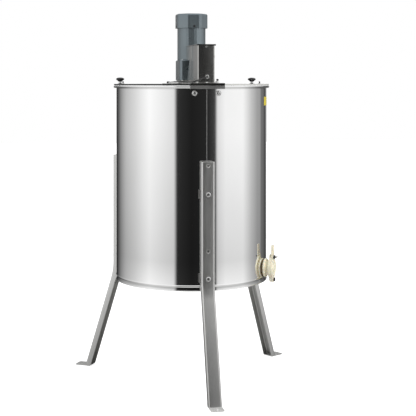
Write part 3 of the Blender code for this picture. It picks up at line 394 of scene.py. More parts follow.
FINISHES = {
    "mirror": mirror_steel(),
    # This steel carries painted shade, darker towards the floor
    "satin_leg": satin_steel("satin_stainless_upright", (0.80, 0.80, 0.785), 0.39, "z",
                             floor_shade_share=0.68),
    # A brighter copy of the satin steel, with painted light; the front foot, the hinges and the small
    # bright fittings take it
    "satin_painted_bright": satin_steel("satin_stainless_painted_bright", (0.97, 0.97, 0.96), 0.62, "y"),
    "satin_box": satin_steel("satin_stainless_box", (0.76, 0.755, 0.73), 0.25, "z",
                             relief=0.012),
    "satin_long": satin_steel("satin_stainless_long", (0.80, 0.80, 0.785), 0.45, "y"),
    # A tan brown, darker than the gate, that makes a brown ring round the gate's flange
    "gasket": moulded_plastic("tan_brown_gasket", (0.32, 0.22, 0.11), (0.42, 0.31, 0.17),
                              0.5, 300.0, 0.1),
    "bolt": bolt_steel(),
    "paint": motor_paint(),
    "black": moulded_plastic("black_moulding", (0.012, 0.012, 0.013), (0.022, 0.022, 0.023),
                             0.34, 900.0, 0.14),
    "gloss": moulded_plastic("glossy_black", (0.010, 0.010, 0.010), (0.020, 0.020, 0.020),
                             0.15, 420.0, 0.05),
    # A near-black finish with little shine, for the dark strips along the bridge's lips
    "dark_strip": moulded_plastic("dark_strip_black", (0.005, 0.005, 0.005), (0.014, 0.014, 0.013),
                              0.62, 500.0, 0.20, shine=0.10),
    "ivory": ivory_nylon(),
    "acrylic": clear_acrylic(),
    "machined": machined_steel(),
    "copper": copper_winding(),
    "board": circuit_board(),
    "label": label_film(),
}

# The finish that each CAD node takes, by the start of its name; a longer start wins
CAD_FINISHES = {
    "drum_floor": "satin_long", "drum_shell": "mirror", "leg_": "satin_leg", "leg_bolt": "bolt",
    "bridge": "satin_long", "bridge_bolt": "bolt", "lower_bearing_cup": "machined",
    "upper_bearing": "machined", "motor_": "paint", "motor_plate": "satin_long",
    "gearbox_housing": "paint", "stator": "copper", "rotor": "machined", "cooling_fan": "black",
    "output_gear": "machined", "lay_shaft": "machined", "control_box": "satin_box",
    "wiring_hood": "satin_box", "speed_control_board": "board", "speed_knob": "black",
    "switch_rocker": "black", "cord_gland": "gloss", "power_cord": "gloss", "power_plug": "black",
    # The hinges take the satin steel painted brighter, with painted light
    "lid_": "acrylic", "left_hinge": "satin_painted_bright", "right_hinge": "satin_painted_bright", "basket_": "satin_leg",
    "basket_shaft": "bolt", "frame_cage": "satin_leg", "gate_": "ivory", "gate_gasket": "gasket",
    "gate_pivot_screw": "bolt", "gate_wing_nut": "black",
}

# The rounding of CAD nodes' edges, by the start of their names; the largest match wins
EDGE_WIDTHS = {
    "bridge": 0.0007, "motor_plate": 0.0008, "gearbox_housing": 0.0008, "motor_cap": 0.0010,
    "control_box": 0.0011, "wiring_hood": 0.0011, "gate_body": 0.0008, "gate_flap": 0.0010,
    "gate_inner_nut": 0.0008, "leg_bracket": 0.0005, "power_plug": 0.0008, "frame_cage": 0.0006,
    "basket_": 0.0006, "left_hinge": 0.0003, "right_hinge": 0.0003, "switch_rocker": 0.0004,
    "speed_knob": 0.0003, "output_gear": 0.0002, "lay_shaft": 0.0002, "cord_gland": 0.0004,
}


def finish_cad_nodes():
    """Gives each CAD node its finish, and softens the edges of those in EDGE_WIDTHS."""
    for name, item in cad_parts.items():
        start = max((s for s in CAD_FINISHES if name.startswith(s)), key=len)
        item.data.materials.clear()
        item.data.materials.append(FINISHES[CAD_FINISHES[start]])
        width = max((w for s, w in EDGE_WIDTHS.items() if name.startswith(s)), default=0.0)
        if width:
            soften(item, width)


# Mesh helpers

def arc(cx, cy, radius, start, stop, steps):
    """Points on a circle from start to stop degrees, both ends included."""
    angles = (math.radians(start + (stop - start) * k / steps) for k in range(steps + 1))
    return [(cx + radius * math.cos(a), cy + radius * math.sin(a)) for a in angles]


def mesh_of(bm, name):
    """A mesh from a bmesh, with its faces outward."""
    bmesh.ops.recalc_face_normals(bm, faces=bm.faces)
    mesh = bpy.data.meshes.new(name)
    bm.to_mesh(mesh)
    bm.free()
    return mesh


def lathe(profile, steps):
    """A closed (radius, z) outline turned about Z. Points at radius 0 become one point on the axis."""
    bm = bmesh.new()
    rings = []
    for radius, z in profile:
        if radius == 0.0:
            rings.append([bm.verts.new((0.0, 0.0, z))])
            continue
        angles = (2 * math.pi * k / steps for k in range(steps))
        rings.append([bm.verts.new((radius * math.cos(a), radius * math.sin(a), z)) for a in angles])
    for near, far in zip(rings, rings[1:] + rings[:1]):
        if len(near) == 1 and len(far) == 1:
            continue
        for k in range(steps):
            after = (k + 1) % steps
            corners = [near[k % len(near)], near[after % len(near)]]
            corners += [far[after % len(far)], far[k % len(far)]]
            bm.faces.new(list(dict.fromkeys(corners)))
    return mesh_of(bm, "lathe")


def loft(rings):
    """A closed solid through rings of (x, y, z) points, all of one length."""
    bm = bmesh.new()
    loops = [[bm.verts.new(point) for point in ring] for ring in rings]
    for near, far in zip(loops, loops[1:]):
        count = len(near)
        for k in range(count):
            after = (k + 1) % count
            bm.faces.new((near[k], near[after], far[after], far[k]))
    bm.faces.new(loops[0])
    bm.faces.new(loops[-1])
    return mesh_of(bm, "loft")


def placed(mesh, *steps):
    """Moves the mesh by the given matrices, the last of them first."""
    for step in reversed(steps):
        mesh.transform(step)
    return mesh


def shift(x, y, z):
    return Matrix.Translation((x, y, z))


def turned(degrees, axis="Z"):
    return Matrix.Rotation(math.radians(degrees), 4, axis)


TO_FRONT = turned(90, "X")
TO_RIGHT = turned(90, "Y")


def on_side(mesh, angle, height):
    """Lays a mesh made along +Z to point out from the drum, at an angle round it from the front."""
    return placed(mesh, turned(angle), shift(0, 0, height), TO_FRONT)


def middle_of(node):
    """The middle of a CAD node's box."""
    low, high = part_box(node)
    return (low + high) / 2


def add_object(name, data):
    """A new object in the scene."""
    item = bpy.data.objects.new(name, data)
    bpy.context.scene.collection.objects.link(item)
    return item


def join(meshes, name):
    """All the meshes as one."""
    bm = bmesh.new()
    for mesh in meshes:
        bm.from_mesh(mesh)
    joined = bpy.data.meshes.new(name)
    bm.to_mesh(joined)
    bm.free()
    return joined


def piece(name, mesh, body, finish, stands_for=(), bevel=0.0, smooth=35.0):
    """One visible piece that rides a CAD body, with softened edges if bevel is above 0."""
    item = add_object(name, mesh)
    mesh.materials.clear()
    mesh.materials.append(FINISHES[finish])
    mesh.shade_smooth()
    mesh.set_sharp_from_angle(angle=math.radians(smooth))
    if bevel:
        soften(item, bevel)
    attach(item, body)
    if stands_for:
        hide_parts(*stands_for)


def soften(item, width):
    """A narrow bevel on the sharp edges."""
    step = item.modifiers.new("soft_edges", "BEVEL")
    step.width = width
    step.segments = 2
    step.limit_method = "ANGLE"
    step.angle_limit = math.radians(40)
    step.use_clamp_overlap = True


def cut_mesh(mesh, tools):
    """The mesh with the tool meshes taken out of it, before it becomes a piece."""
    item = add_object("blank", mesh)
    for tool_mesh in tools:
        tool = add_object("tool", tool_mesh)
        step = item.modifiers.new("cut", "BOOLEAN")
        step.operation = "DIFFERENCE"
        step.solver = "EXACT"
        step.object = tool
        graph = bpy.context.evaluated_depsgraph_get()
        result = bpy.data.meshes.new_from_object(item.evaluated_get(graph))
        item.modifiers.remove(step)
        item.data = result
        bpy.data.objects.remove(tool, do_unlink=True)
    result = item.data
    bpy.data.objects.remove(item, do_unlink=True)
    return result


def cylinder(radius, low, high, steps=32):
    return lathe([(0.0, high), (radius, high), (radius, low), (0.0, low)], steps)


# Drum

def make_drum_wall():
    """The rolled sheet drum: rolled rim, foot bead, wall, and the hole for the gate."""
    fillet = 0.0012
    inside = DRUM_RADIUS - WALL
    above_bead = SEAM_Z + 0.075
    rim = arc(DRUM_RADIUS + ROLL_REACH - ROLL_RADIUS, RIM_Z - ROLL_RADIUS, ROLL_RADIUS, 100, -90, 14)
    neck = arc(DRUM_RADIUS + fillet, RIM_Z - 2 * ROLL_RADIUS - 0.0014, fillet, 90, 180, 4)
    bead = [(DRUM_RADIUS + BEAD_RISE * math.cos(math.radians(a)) ** 2, SEAM_Z - 0.004 * a / 90)
            for a in range(-90, 91, 15)]
    foot = arc(DRUM_RADIUS + BEAD_RISE - fillet, BOTTOM_Z + fillet, fillet, 90, -90, 6)
    profile = [(inside, RIM_Z - 0.001)] + rim + neck
    profile += [(DRUM_RADIUS, z) for z in (RIM_Z - 0.015, RIM_Z - 0.030, above_bead)]
    profile += bead + [(DRUM_RADIUS, BOTTOM_Z + 0.005)] + foot
    profile += [(inside, BOTTOM_Z + 0.001), (inside, above_bead)]
    hole = gate_place(cylinder(GATE_HOLE_RADIUS, DRUM_RADIUS - 0.03, DRUM_RADIUS + 0.03, 48))
    wall = cut_mesh(lathe(profile, DRUM_STEPS), [hole])
    piece("drum_wall", wall, "stand", "mirror", ["drum_shell"], smooth=40.0)


def make_drum_seam():
    """The drum sheet's butt weld, a ground bead that runs up the front."""
    half = 0.0009
    rise = 0.00018
    section = [(half * math.cos(math.radians(a)), -DRUM_RADIUS - rise * math.sin(math.radians(a)))
               for a in range(0, 181, 30)]
    section.append((0.0, -DRUM_RADIUS + 0.0004))
    rings = [[(x, y, z) for x, y in section] for z in (SEAM_Z + 0.006, RIM_Z - 0.0105)]
    piece("drum_weld_seam", loft(rings), "stand", "bolt", smooth=60.0)


def make_label():
    """A blank yellow label on the drum, right of the bridge."""
    low, high = (RIM_Z - drop for drop in LABEL_DROPS)
    inner = DRUM_RADIUS + 0.0001
    outer = inner + LABEL_FILM
    corners = [(inner, low), (outer, low), (outer, high), (inner, high)]
    steps = 24
    rings = []
    for k in range(steps + 1):
        angle = math.radians(LABEL_START + LABEL_SPAN * k / steps)
        rings.append([(math.cos(angle) * r, math.sin(angle) * r, z) for r, z in corners])
    piece("blank_label", loft(rings), "stand", "label")


# Legs

def channel_section(face):
    """(x, y) points round a channel leg with rolled corners, open towards the drum."""
    inner = LEG_CORNER - LEG_SHEET
    left = -LEG_HALF + LEG_CORNER
    base = -face + LEG_CORNER
    tip = -face + LEG_DEPTH
    points = [(-LEG_HALF, tip)] + arc(left, base, LEG_CORNER, 180, 270, 7)
    points += arc(-left, base, LEG_CORNER, 270, 360, 7) + [(LEG_HALF, tip)]
    points += [(LEG_HALF - LEG_SHEET, tip)] + arc(-left, base, inner, 360, 270, 7)
    points += arc(left, base, inner, 270, 180, 7) + [(-LEG_HALF + LEG_SHEET, tip)]
    return points


def leg_path():
    """(z, face) stations down a leg: straight, a pressed bend, then straight out to the foot."""
    end_z = GROUND_Z + LEG_SHEET * 0.6
    slope = (FOOT_FACE - LEG_FACE) / (LEG_BEND_Z - end_z)
    stations = [(LEG_TOP_Z, LEG_FACE)]
    for k in range(9):
        share = k / 8
        z = LEG_BEND_Z + LEG_BEND_REACH - 2 * LEG_BEND_REACH * share
        stations.append((z, LEG_FACE + slope * LEG_BEND_REACH * share * share))
    return stations + [(end_z, FOOT_FACE)]


def make_legs():
    """Each leg's channel with its spare holes, and the foot plate under it."""
    holes = []
    for drop in SPARE_HOLE_DROPS:
        punch = [(0.0, LEG_FACE + 0.001), (0.0068, LEG_FACE + 0.001), (0.0043, LEG_FACE - 0.0012)]
        punch += [(0.0043, LEG_FACE - 0.010), (0.0, LEG_FACE - 0.010)]
        holes.append(on_side(lathe(punch, 28), 0, RIM_Z - drop))
    rings = [[(x, y, z) for x, y in channel_section(face)] for z, face in leg_path()]
    channel = cut_mesh(loft(rings), holes)
    side_x = LEG_HALF - FOOT_CORNER
    tip_y = -FOOT_TIP + FOOT_CORNER
    back_y = -FOOT_FACE + FOOT_TUCK
    outline = [(LEG_HALF, back_y), (-LEG_HALF, back_y)]
    outline += arc(-side_x, tip_y, FOOT_CORNER, 180, 270, 5)
    outline += arc(side_x, tip_y, FOOT_CORNER, 270, 360, 5)
    plate = loft([[(x, y, z) for x, y in outline] for z in (GROUND_Z, GROUND_Z + LEG_SHEET)])
    anchor = cylinder(ANCHOR_RADIUS, GROUND_Z - 0.01, GROUND_Z + 0.01)
    plate = cut_mesh(plate, [placed(anchor, shift(0, -ANCHOR_REACH, 0))])
    for side, angle in LEG_TURNS.items():
        name = "leg_" + side
        piece(name + "_channel", placed(channel.copy(), turned(angle)), "stand", "satin_leg",
              [name], bevel=0.0005, smooth=30.0)
        # The front foot takes the brighter steel, with painted light, and the others are as grey as the
        # legs
        finish = "satin_painted_bright" if side == "front" else "satin_leg"
        piece(name + "_foot", placed(plate.copy(), turned(angle)), "stand", finish,
              bevel=0.0006)


def button_head(height, seat):
    """A button-head screw with a washer and a socket, along +Z, sitting at seat."""
    base = seat + 0.0010
    rise = height - 0.0016
    socket = BUTTON_RADIUS * 0.36
    angles = [math.radians(a) for a in range(0, 69, 8)]
    dome = [(BUTTON_RADIUS * math.cos(a), base + 0.0006 + rise * math.sin(a)) for a in angles]
    profile = [(0.0, base + height * 0.30), (socket, base + height * 0.30)]
    profile += [(socket, base + height - 0.0014)] + dome[::-1] + [(BUTTON_RADIUS, base)]
    profile += [(BUTTON_RADIUS * 1.22, base), (BUTTON_RADIUS * 1.22, seat), (0.0, seat)]
    return lathe(profile, 40)


def replace_bolt(node, angle, height, face):
    """A button head in place of one plain bolt, on a face that far from the drum's axis."""
    head = on_side(button_head(height, face + 0.0002), angle, middle_of(node).z)
    piece("head_" + node, head, "stand", "bolt", [node], bevel=0.0002)


def make_bolts():
    """Button heads for the legs and the bridge."""
    for side, angle in LEG_TURNS.items():
        for level in ("upper", "lower"):
            replace_bolt("leg_bolt_" + side + "_" + level, angle, LEG_BUTTON_HEIGHT, LEG_FACE)
    for name in ("front_left", "front_right", "rear_left", "rear_right"):
        node = "bridge_bolt_" + name
        middle = middle_of(node)
        angle = math.degrees(math.atan2(middle.x, -middle.y))
        replace_bolt(node, angle, BRIDGE_BUTTON_HEIGHT, DRUM_RADIUS)


# Lids

def make_lid_fittings(side, sign):
    """The lid's knob on its stem and two small studs, all riding the lid."""
    body = "lid_" + side
    node = body + "_knob"
    low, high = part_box(node)
    middle = middle_of(node)
    top = LID_HIGH.z
    cap_low = top + 0.0080
    cap = [(0.0, high.z), (0.0050, high.z - 0.0002), (0.0100, high.z - 0.0014)]
    cap += [(0.0130, high.z - 0.0034), (0.0139, high.z - 0.0056), (0.0128, high.z - 0.0078)]
    cap += [(0.0085, cap_low + 0.0032), (0.0056, cap_low), (0.0, cap_low)]
    mesh = placed(lathe(cap, 48), shift(middle.x, middle.y, 0))
    piece(node + "_cap", mesh, body, "black", [node], bevel=0.0003)
    stem = [(0.0, cap_low - 0.0003), (0.0042, cap_low - 0.0003), (0.0040, top + 0.006)]
    stem += [(0.0050, top + 0.0034), (0.0092, top + 0.0012), (0.0098, top + 0.0002)]
    stem += [(0.0028, top + 0.0002), (0.0028, low.z), (0.0, low.z)]
    mesh = placed(lathe(stem, 32), shift(middle.x, middle.y, 0))
    piece(node + "_stem", mesh, body, "bolt")
    pin = [(0.0, top + 0.0088), (0.0020, top + 0.0086), (0.0026, top + 0.0078)]
    pin += [(0.0026, top + 0.0058), (0.0018, top + 0.0050), (0.0018, top + 0.0022), (0.0, top + 0.0022)]
    collar = [(0.0, top + 0.0021), (0.0046, top + 0.0020), (0.0052, top + 0.0014)]
    collar += [(0.0052, top + 0.0002), (0.0, top + 0.0002)]
    for number, stud_x in enumerate(STUD_PLACES, 1):
        place = shift(sign * stud_x, STUD_Y, 0)
        name = body + "_stud_" + str(number)
        piece(name, placed(lathe(pin, 24), place), body, "black")
        piece(name + "_collar", placed(lathe(collar, 24), place), body, "bolt")


def make_hinge_rivets(side, sign):
    """Flat rivets along both leaves of a lid's hinge."""
    rivet = [(0.0, 0.0006), (0.0018, 0.0005), (0.0024, 0.0), (0.0, 0.0)]
    leaf_rise = 0.0017
    fixed = ("stand", FIXED_RIVET_X, BRIDGE_HIGH.z + leaf_rise)
    moving = ("lid_" + side, MOVING_RIVET_X, LID_HIGH.z + leaf_rise)
    for body, x, z in (fixed, moving):
        heads = [placed(lathe(rivet, 20), shift(sign * x, y, z)) for y in RIVET_PLACES]
        piece(side + "_hinge_rivets_" + body, join(heads, "rivets"), body, "bolt")


# Motor and control box

def screw_head(radius, height):
    """A pan head with a cross recess, along +Z from z = 0."""
    angles = [math.radians(a) for a in range(0, 90, 15)]
    dome = [(radius * math.cos(a), height * (0.35 + 0.65 * math.sin(a))) for a in angles]
    profile = [(0.0, height)] + dome[::-1] + [(radius, 0.0), (0.0, 0.0)]
    slot = radius * 0.22
    reach = radius * 0.66
    outline = ((-reach, -slot), (reach, -slot), (reach, slot), (-reach, slot))
    arms = []
    for spin in (0, 90):
        arm = loft([[(x, y, z) for x, y in outline] for z in (height * 0.45, height * 1.5)])
        arms.append(placed(arm, turned(spin)))
    return cut_mesh(lathe(profile, 28), arms)


def make_motor_screws():
    """Recessed screws low on four flats of the fan cap, and four in the gearbox's top."""
    heads = []
    for spin in (0, 90, 180, 270):
        head = placed(screw_head(0.0036, 0.0014), shift(0, 0, CAP_HIGH.x - 0.0002))
        heads.append(on_side(head, spin, CAP_LOW.z + 0.006))
    # The heads are black, partly as painted shade for the dark notches where they sit
    piece("motor_cap_screws", join(heads, "screws"), "stand", "black")
    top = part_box("gearbox_housing")[1].z
    heads = []
    for x in (-GEARBOX_SCREW_REACH, GEARBOX_SCREW_REACH):
        for y in (-GEARBOX_SCREW_REACH, GEARBOX_SCREW_REACH):
            heads.append(placed(screw_head(0.0034, 0.0022), shift(x, y, top), turned(20)))
    piece("gearbox_screws", join(heads, "screws"), "stand", "bolt")


def make_box_screws():
    """The cover's front screw, two in the bridge before the box, the gland's ring and a capped pin."""
    head = placed(screw_head(0.0030, 0.0016), shift(0, 0, -COVER_LOW.y - 0.003))
    piece("cover_screw", on_side(head, 0, COVER_HIGH.z - 0.0075), "stand", "bolt")
    top = BRIDGE_HIGH.z + 0.0003
    heads = []
    for x, y, radius, rise in ((-0.0315, -0.246, 0.0042, 0.0056), (0.0, -0.2545, 0.0034, 0.0034)):
        heads.append(placed(screw_head(radius, rise), shift(x, y, top)))
    # The bridge's screws, the gland's ring and the pin's collar take the steel painted brighter, for
    # painted highlights
    piece("bridge_screws", join(heads, "screws"), "stand", "satin_painted_bright")
    profile = [(0.0037, 0.0), (0.0037, 0.0012), (0.0048, 0.0012), (0.0055, 0.0006), (0.0055, 0.0)]
    ring = placed(lathe(profile, 32), shift(0, 0, -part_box("cord_gland")[0].y))
    ring = on_side(ring, 0, middle_of("cord_gland").z)
    piece("gland_clamp_ring", ring, "stand", "satin_painted_bright")
    place = shift(*BRIDGE_PIN_PLACE, top)
    collar = [(0.0, 0.0066), (0.0030, 0.0066), (0.0034, 0.0060), (0.0036, 0.0024)]
    collar = placed(lathe(collar + [(0.0052, 0.0012), (0.0054, 0.0), (0.0, 0.0)], 28), place)
    piece("bridge_pin_collar", collar, "stand", "satin_painted_bright")
    cap = [(0.0, 0.0128), (0.0026, 0.0126), (0.0036, 0.0116), (0.0036, 0.0082)]
    cap = placed(lathe(cap + [(0.0022, 0.0068), (0.0, 0.0068)], 28), place)
    piece("bridge_pin_cap", cap, "stand", "black")


def rounded_box_outline(low, high, radius):
    """(x, y) points of a rectangle with round corners."""
    points = []
    corners = ((high.x - radius, high.y - radius, 0), (low.x + radius, high.y - radius, 90))
    corners += ((low.x + radius, low.y + radius, 180), (high.x - radius, low.y + radius, 270))
    for cx, cy, start in corners:
        points += arc(cx, cy, radius, start, start + 90, 6)
    return points


def upright_block(low, high, radius):
    """A block between two corners, with round upright edges."""
    low = Vector(low)
    high = Vector(high)
    outline = rounded_box_outline(low, high, radius)
    return loft([[(x, y, z) for x, y in outline] for z in (low.z, high.z)])


def make_control_box():
    """The folded box, a tower with round bends and a low sloped rear, and the switch's bezel."""
    hood_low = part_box("wiring_hood")[0]
    side = -BOX_LOW.x
    split = hood_low.y - 0.0003
    shoulder = hood_low.z - 0.0003
    tower = upright_block(BOX_LOW, (side, split, COVER_LOW.z + 0.0028), 0.0034)
    slope = [(split - 0.006, BOX_LOW.z), (split - 0.006, shoulder)]
    slope += [(BOX_REAR_SHOULDER_Y, shoulder), (BOX_HIGH.y, BOX_LOW.z)]
    rear = loft([[(x, y, z) for y, z in slope] for x in (-side + 0.0002, side - 0.0002)])
    piece("control_box_shell", join([tower, rear], "box"), "stand", "satin_box",
          ["control_box"], bevel=0.0008)
    middle = middle_of("switch_rocker")
    bezel = upright_block((-0.0135, -0.0090, side - 0.0005), (0.0135, 0.0090, side + 0.0020), 0.0020)
    window = upright_block((-0.0095, -0.0050, side - 0.0100), (0.0095, 0.0050, side + 0.01), 0.0008)
    bezel = placed(cut_mesh(bezel, [window]), shift(0, middle.y, middle.z), TO_RIGHT)
    piece("switch_bezel", bezel, "stand", "black", bevel=0.0005)


def make_speed_knob():
    """A fluted pointer knob on the box's right side."""
    middle = middle_of("speed_knob")
    place = shift(0, middle.y, middle.z)
    face = BOX_HIGH.x - 0.0002
    levels = ((-0.0010, 0.0108), (-0.0004, 0.0118), (0.0100, 0.0112), (0.0122, 0.0104))
    rings = []
    for rise, radius in levels:
        ring = []
        for k in range(KNOB_STEPS):
            angle = 2 * math.pi * k / KNOB_STEPS
            flute = (0.5 + 0.5 * math.cos(KNOB_FLUTES * angle)) ** 2
            reach = radius * (1.0 - 0.035 * flute)
            ring.append((reach * math.cos(angle), reach * math.sin(angle), face + rise))
        rings.append(ring)
    cap = [(0.0, face + 0.0134), (0.0086, face + 0.0134), (0.0096, face + 0.0126)]
    cap += [(0.0096, face + 0.0100), (0.0, face + 0.0100)]
    body = placed(join([loft(rings), lathe(cap, 48)], "knob"), place, TO_RIGHT)
    piece("speed_knob_body", body, "speed_knob", "black", ["speed_knob"], bevel=0.0003)
    line = upright_block((-0.0092, -0.0006, face + 0.0130), (-0.0030, 0.0006, face + 0.0137), 0.0004)
    piece("speed_knob_line", placed(line, place, TO_RIGHT), "speed_knob", "ivory")


def make_edge_trim():
    """A black strip, half round, along the outer face of each of the bridge's end lips, which draws a
    dark line along each lip.
    """
    half = BRIDGE_HIGH.x - 0.0005
    middle_z = BRIDGE_HIGH.z - 0.0040
    section = arc(0.0, 0.0, 1.0, 90, -90, 8)
    for name, sign in (("front", -1), ("rear", 1)):
        face = sign * (BRIDGE_HIGH.y - 0.0006)
        rings = [[(x, face + sign * 0.0022 * u, middle_z + 0.0036 * v) for u, v in section]
                 for x in (-half, half)]
        piece("edge_trim_" + name, loft(rings), "stand", "dark_strip", bevel=0.0003)


# Honey gate


def gate_place(mesh, rise=0.0):
    """Lays a mesh made along +Z on the gate's own direction, rise above its middle."""
    return placed(mesh, turned(GATE_TURN), shift(0, 0, GATE_Z + rise), TO_RIGHT)


def gate_plate(outline, low, high):
    """A plate from a (y, z) outline, between two reaches."""
    return loft([[(-z, y, reach) for y, z in outline] for reach in (low, high)])


def make_gate_body():
    """The threaded spigot, its flange and neck, and the face with the pivot's and the stud's lugs."""
    wall = DRUM_RADIUS + 0.0003
    low, high = GATE_FACE
    barrel = [(GATE_BORE, DRUM_RADIUS - 0.0125), (0.0208, DRUM_RADIUS - 0.0125), (0.0208, wall + 0.0025)]
    barrel += [(0.0290, wall + 0.0025)] + arc(0.0285, wall + 0.0042, 0.0015, -60, 0, 4)
    barrel += arc(0.0285, wall + 0.0080, 0.0015, 0, 90, 5)
    barrel += arc(0.0255, wall + 0.0122, 0.0027, 270, 180, 6)
    barrel += [(0.0230, low + 0.002), (GATE_BORE, low + 0.002)]
    outline = arc(0, 0, GATE_DISC, -60, 60, 24) + arc(0, GATE_STUD, GATE_LUG, 0, 180, 16)
    outline += arc(0, 0, GATE_DISC, 120, 240, 24) + arc(0, GATE_PIVOT, GATE_LUG, 180, 360, 16)
    bore = cylinder(GATE_BORE, low - 0.01, high + 0.01, 48)
    face = cut_mesh(gate_plate(outline, low, high), [bore])
    body = gate_place(join([lathe(barrel, 64), face], "body"))
    piece("gate_spigot_and_face", body, "stand", "ivory", ["gate_body"],
          bevel=0.0009, smooth=30)
    tip = GATE_FLAP[1] + 0.0115
    stud = [(0.0, tip), (0.0020, tip), (0.0028, tip - 0.0008), (0.0028, low + 0.002), (0.0, low + 0.002)]
    piece("gate_stud", gate_place(lathe(stud, 24), GATE_STUD), "stand", "bolt")


def flap_outline():
    """A (y, z) outline: a disc, the pivot's lug below, and a handle above with the stud's notch."""
    left = -0.0120
    right = 0.0060
    lip = 0.0085
    top = 0.075
    corner = 0.004
    notch_low = GATE_STUD - 0.0048
    notch_high = GATE_STUD + 0.0036
    notch_middle = (notch_low + notch_high) / 2
    points = arc(0, 0, FLAP_RADIUS, -60, 70, 28)
    points += [(lip, notch_low), (-0.0026, notch_low)]
    points += arc(-0.0016, notch_middle, (notch_high - notch_low) / 2, 270, 90, 8)
    points += [(lip, notch_high), (lip, notch_high + 0.004), (right, notch_high + 0.007)]
    points += arc(right - corner, top - corner, corner, 0, 90, 5)
    points += arc(left + corner, top - corner, corner, 90, 180, 5)
    points += [(left, FLAP_RADIUS)] + arc(0, 0, FLAP_RADIUS, 120, 240, 24)
    return points + arc(0, GATE_PIVOT, GATE_LUG, 180, 360, 16)


def make_gate_flap():
    """The swinging shutter, with a raised ring, a boss and a rib up its handle."""
    low, high = GATE_FLAP
    root = high - 0.0005
    hole = placed(cylinder(0.0031, low - 0.01, high + 0.01, 24), shift(-GATE_PIVOT, 0, 0))
    plate = cut_mesh(gate_plate(flap_outline(), low, high), [hole])
    ring = lathe([(0.0225, root), (0.0232, high + 0.0012), (0.0252, high + 0.0012), (0.0259, root)], 64)
    boss = [(0.0, high + 0.0030), (0.0105, high + 0.0030), (0.0120, high + 0.0018)]
    boss = lathe(boss + [(0.0124, root), (0.0, root)], 48)
    rib = upright_block((-0.070, -0.0045, root), (-0.047, -0.0015, high + 0.0014), 0.0014)
    shutter = gate_place(join([plate, ring, boss, rib], "flap"))
    piece("gate_flap_shutter", shutter, "gate_flap", "ivory", ["gate_flap"],
          bevel=0.0008, smooth=30)


def make_gate_fixings():
    """The pivot's black knob screw and the moulded wing nut on the stud."""
    seat = GATE_FLAP[1] + 0.0003
    foot = GATE_FACE[0] - 0.002
    knob = [(0.0, seat + 0.0046), (0.0046, seat + 0.0042), (0.0062, seat + 0.0030), (0.0062, seat)]
    knob += [(0.0028, seat), (0.0028, foot), (0.0, foot)]
    piece("gate_pivot_knob", gate_place(lathe(knob, 32), GATE_PIVOT), "stand", "black",
          ["gate_pivot_screw"], bevel=0.0002)
    nut = gate_place(placed(join(wing_nut(), "wings"), shift(0, 0, seat)), GATE_STUD)
    piece("gate_wings", nut, "gate_wing_nut", "black", ["gate_wing_nut"],
          bevel=0.0003, smooth=40)


def wing_nut():
    """The meshes of a moulded wing nut: a hub and two curved wings, along +Z from z = 0."""
    hub = [(0.0031, 0.0), (0.0063, 0.0), (0.0063, 0.0015), (0.0052, 0.0052), (0.0031, 0.0056)]
    meshes = [lathe(hub, 32)]
    for sign in (-1, 1):
        rings = []
        for k in range(9):
            share = k / 8
            reach = 0.0038 + 0.0112 * share
            bottom = 0.0012 + 0.0020 * share
            top = 0.0054 + 0.0046 * math.sin(math.pi * 0.5 * share)
            thick = 0.0018 - 0.0006 * share
            close = max(0.0, share - 0.75) * 2
            middle = (bottom + top) / 2
            bottom += (middle - bottom) * close
            top -= (top - middle) * close
            corners = [(-thick, bottom), (thick, bottom), (thick, top), (-thick, top)]
            rings.append([(y, sign * reach, z) for y, z in corners])
        meshes.append(loft(rings))
    return meshes


# Surroundings

def make_floor():
    """A plain pale floor, seen by the camera but not in the steel."""
    bm = bmesh.new()
    size = 14.0
    z = GROUND_Z - 0.0004
    corners = ((-size, -size, z), (size, -size, z), (size, size, z), (-size, size, z))
    bm.faces.new([bm.verts.new(corner) for corner in corners])
    floor = add_object("studio_floor", mesh_of(bm, "floor"))
    made = bpy.data.materials.new("pale_floor")
    made.use_nodes = True
    tree = made.node_tree
    tree.nodes.clear()
    matt = add_node(tree, "ShaderNodeBsdfDiffuse", {"Color": (0.94, 0.94, 0.94, 1.0)})
    dim = add_node(tree, "ShaderNodeBsdfDiffuse", {"Color": (0.50, 0.50, 0.50, 1.0)})
    lift = add_node(tree, "ShaderNodeEmission", {"Color": (1.0, 1.0, 1.0, 1.0), "Strength": 0.62})
    both = add_node(tree, "ShaderNodeAddShader", {0: matt.outputs[0], 1: lift.outputs[0]})
    shown = mixed(tree, light_path(tree, "Is Camera Ray"), dim.outputs[0], both.outputs[0])
    add_node(tree, "ShaderNodeOutputMaterial", {"Surface": shown})
    floor.data.materials.append(made)
    floor.visible_glossy = False


# Brightness of the studio round the object, by degrees from the camera's direction
STUDIO_WALLS = (
    (-180, 0.55), (-170, 0.28), (-163, 0.07), (-156, 0.02), (-150, 0.10), (-144, 0.15), (-139, 0.24),
    (-118, 0.55), (-95, 0.74), (-66, 1.05), (-26, 0.80), (-21.5, 0.030), (0, 0.014), (24, 0.020),
    (36, 0.055), (39, 0.78), (52, 0.97), (84, 1.00), (103, 0.60), (119, 0.38), (128, 0.36),
    (134, 0.17), (144, 0.16), (149.5, 0.04), (156, 0.17), (166, 0.26), (180, 0.55),
)


def wall_ramp(tree, share):
    """The colour of STUDIO_WALLS, for a share of the way round from behind the object."""
    ramp = add_node(tree, "ShaderNodeValToRGB", {"Fac": share})
    stops = ramp.color_ramp.elements
    while len(stops) > 1:
        stops.remove(stops[-1])
    for k, (degrees, level) in enumerate(STUDIO_WALLS):
        place = (degrees + 180) / 360
        stop = stops[0] if k == 0 else stops.new(place)
        stop.position = place
        stop.color = (level, level, level, 1.0)
    return ramp.outputs["Color"]


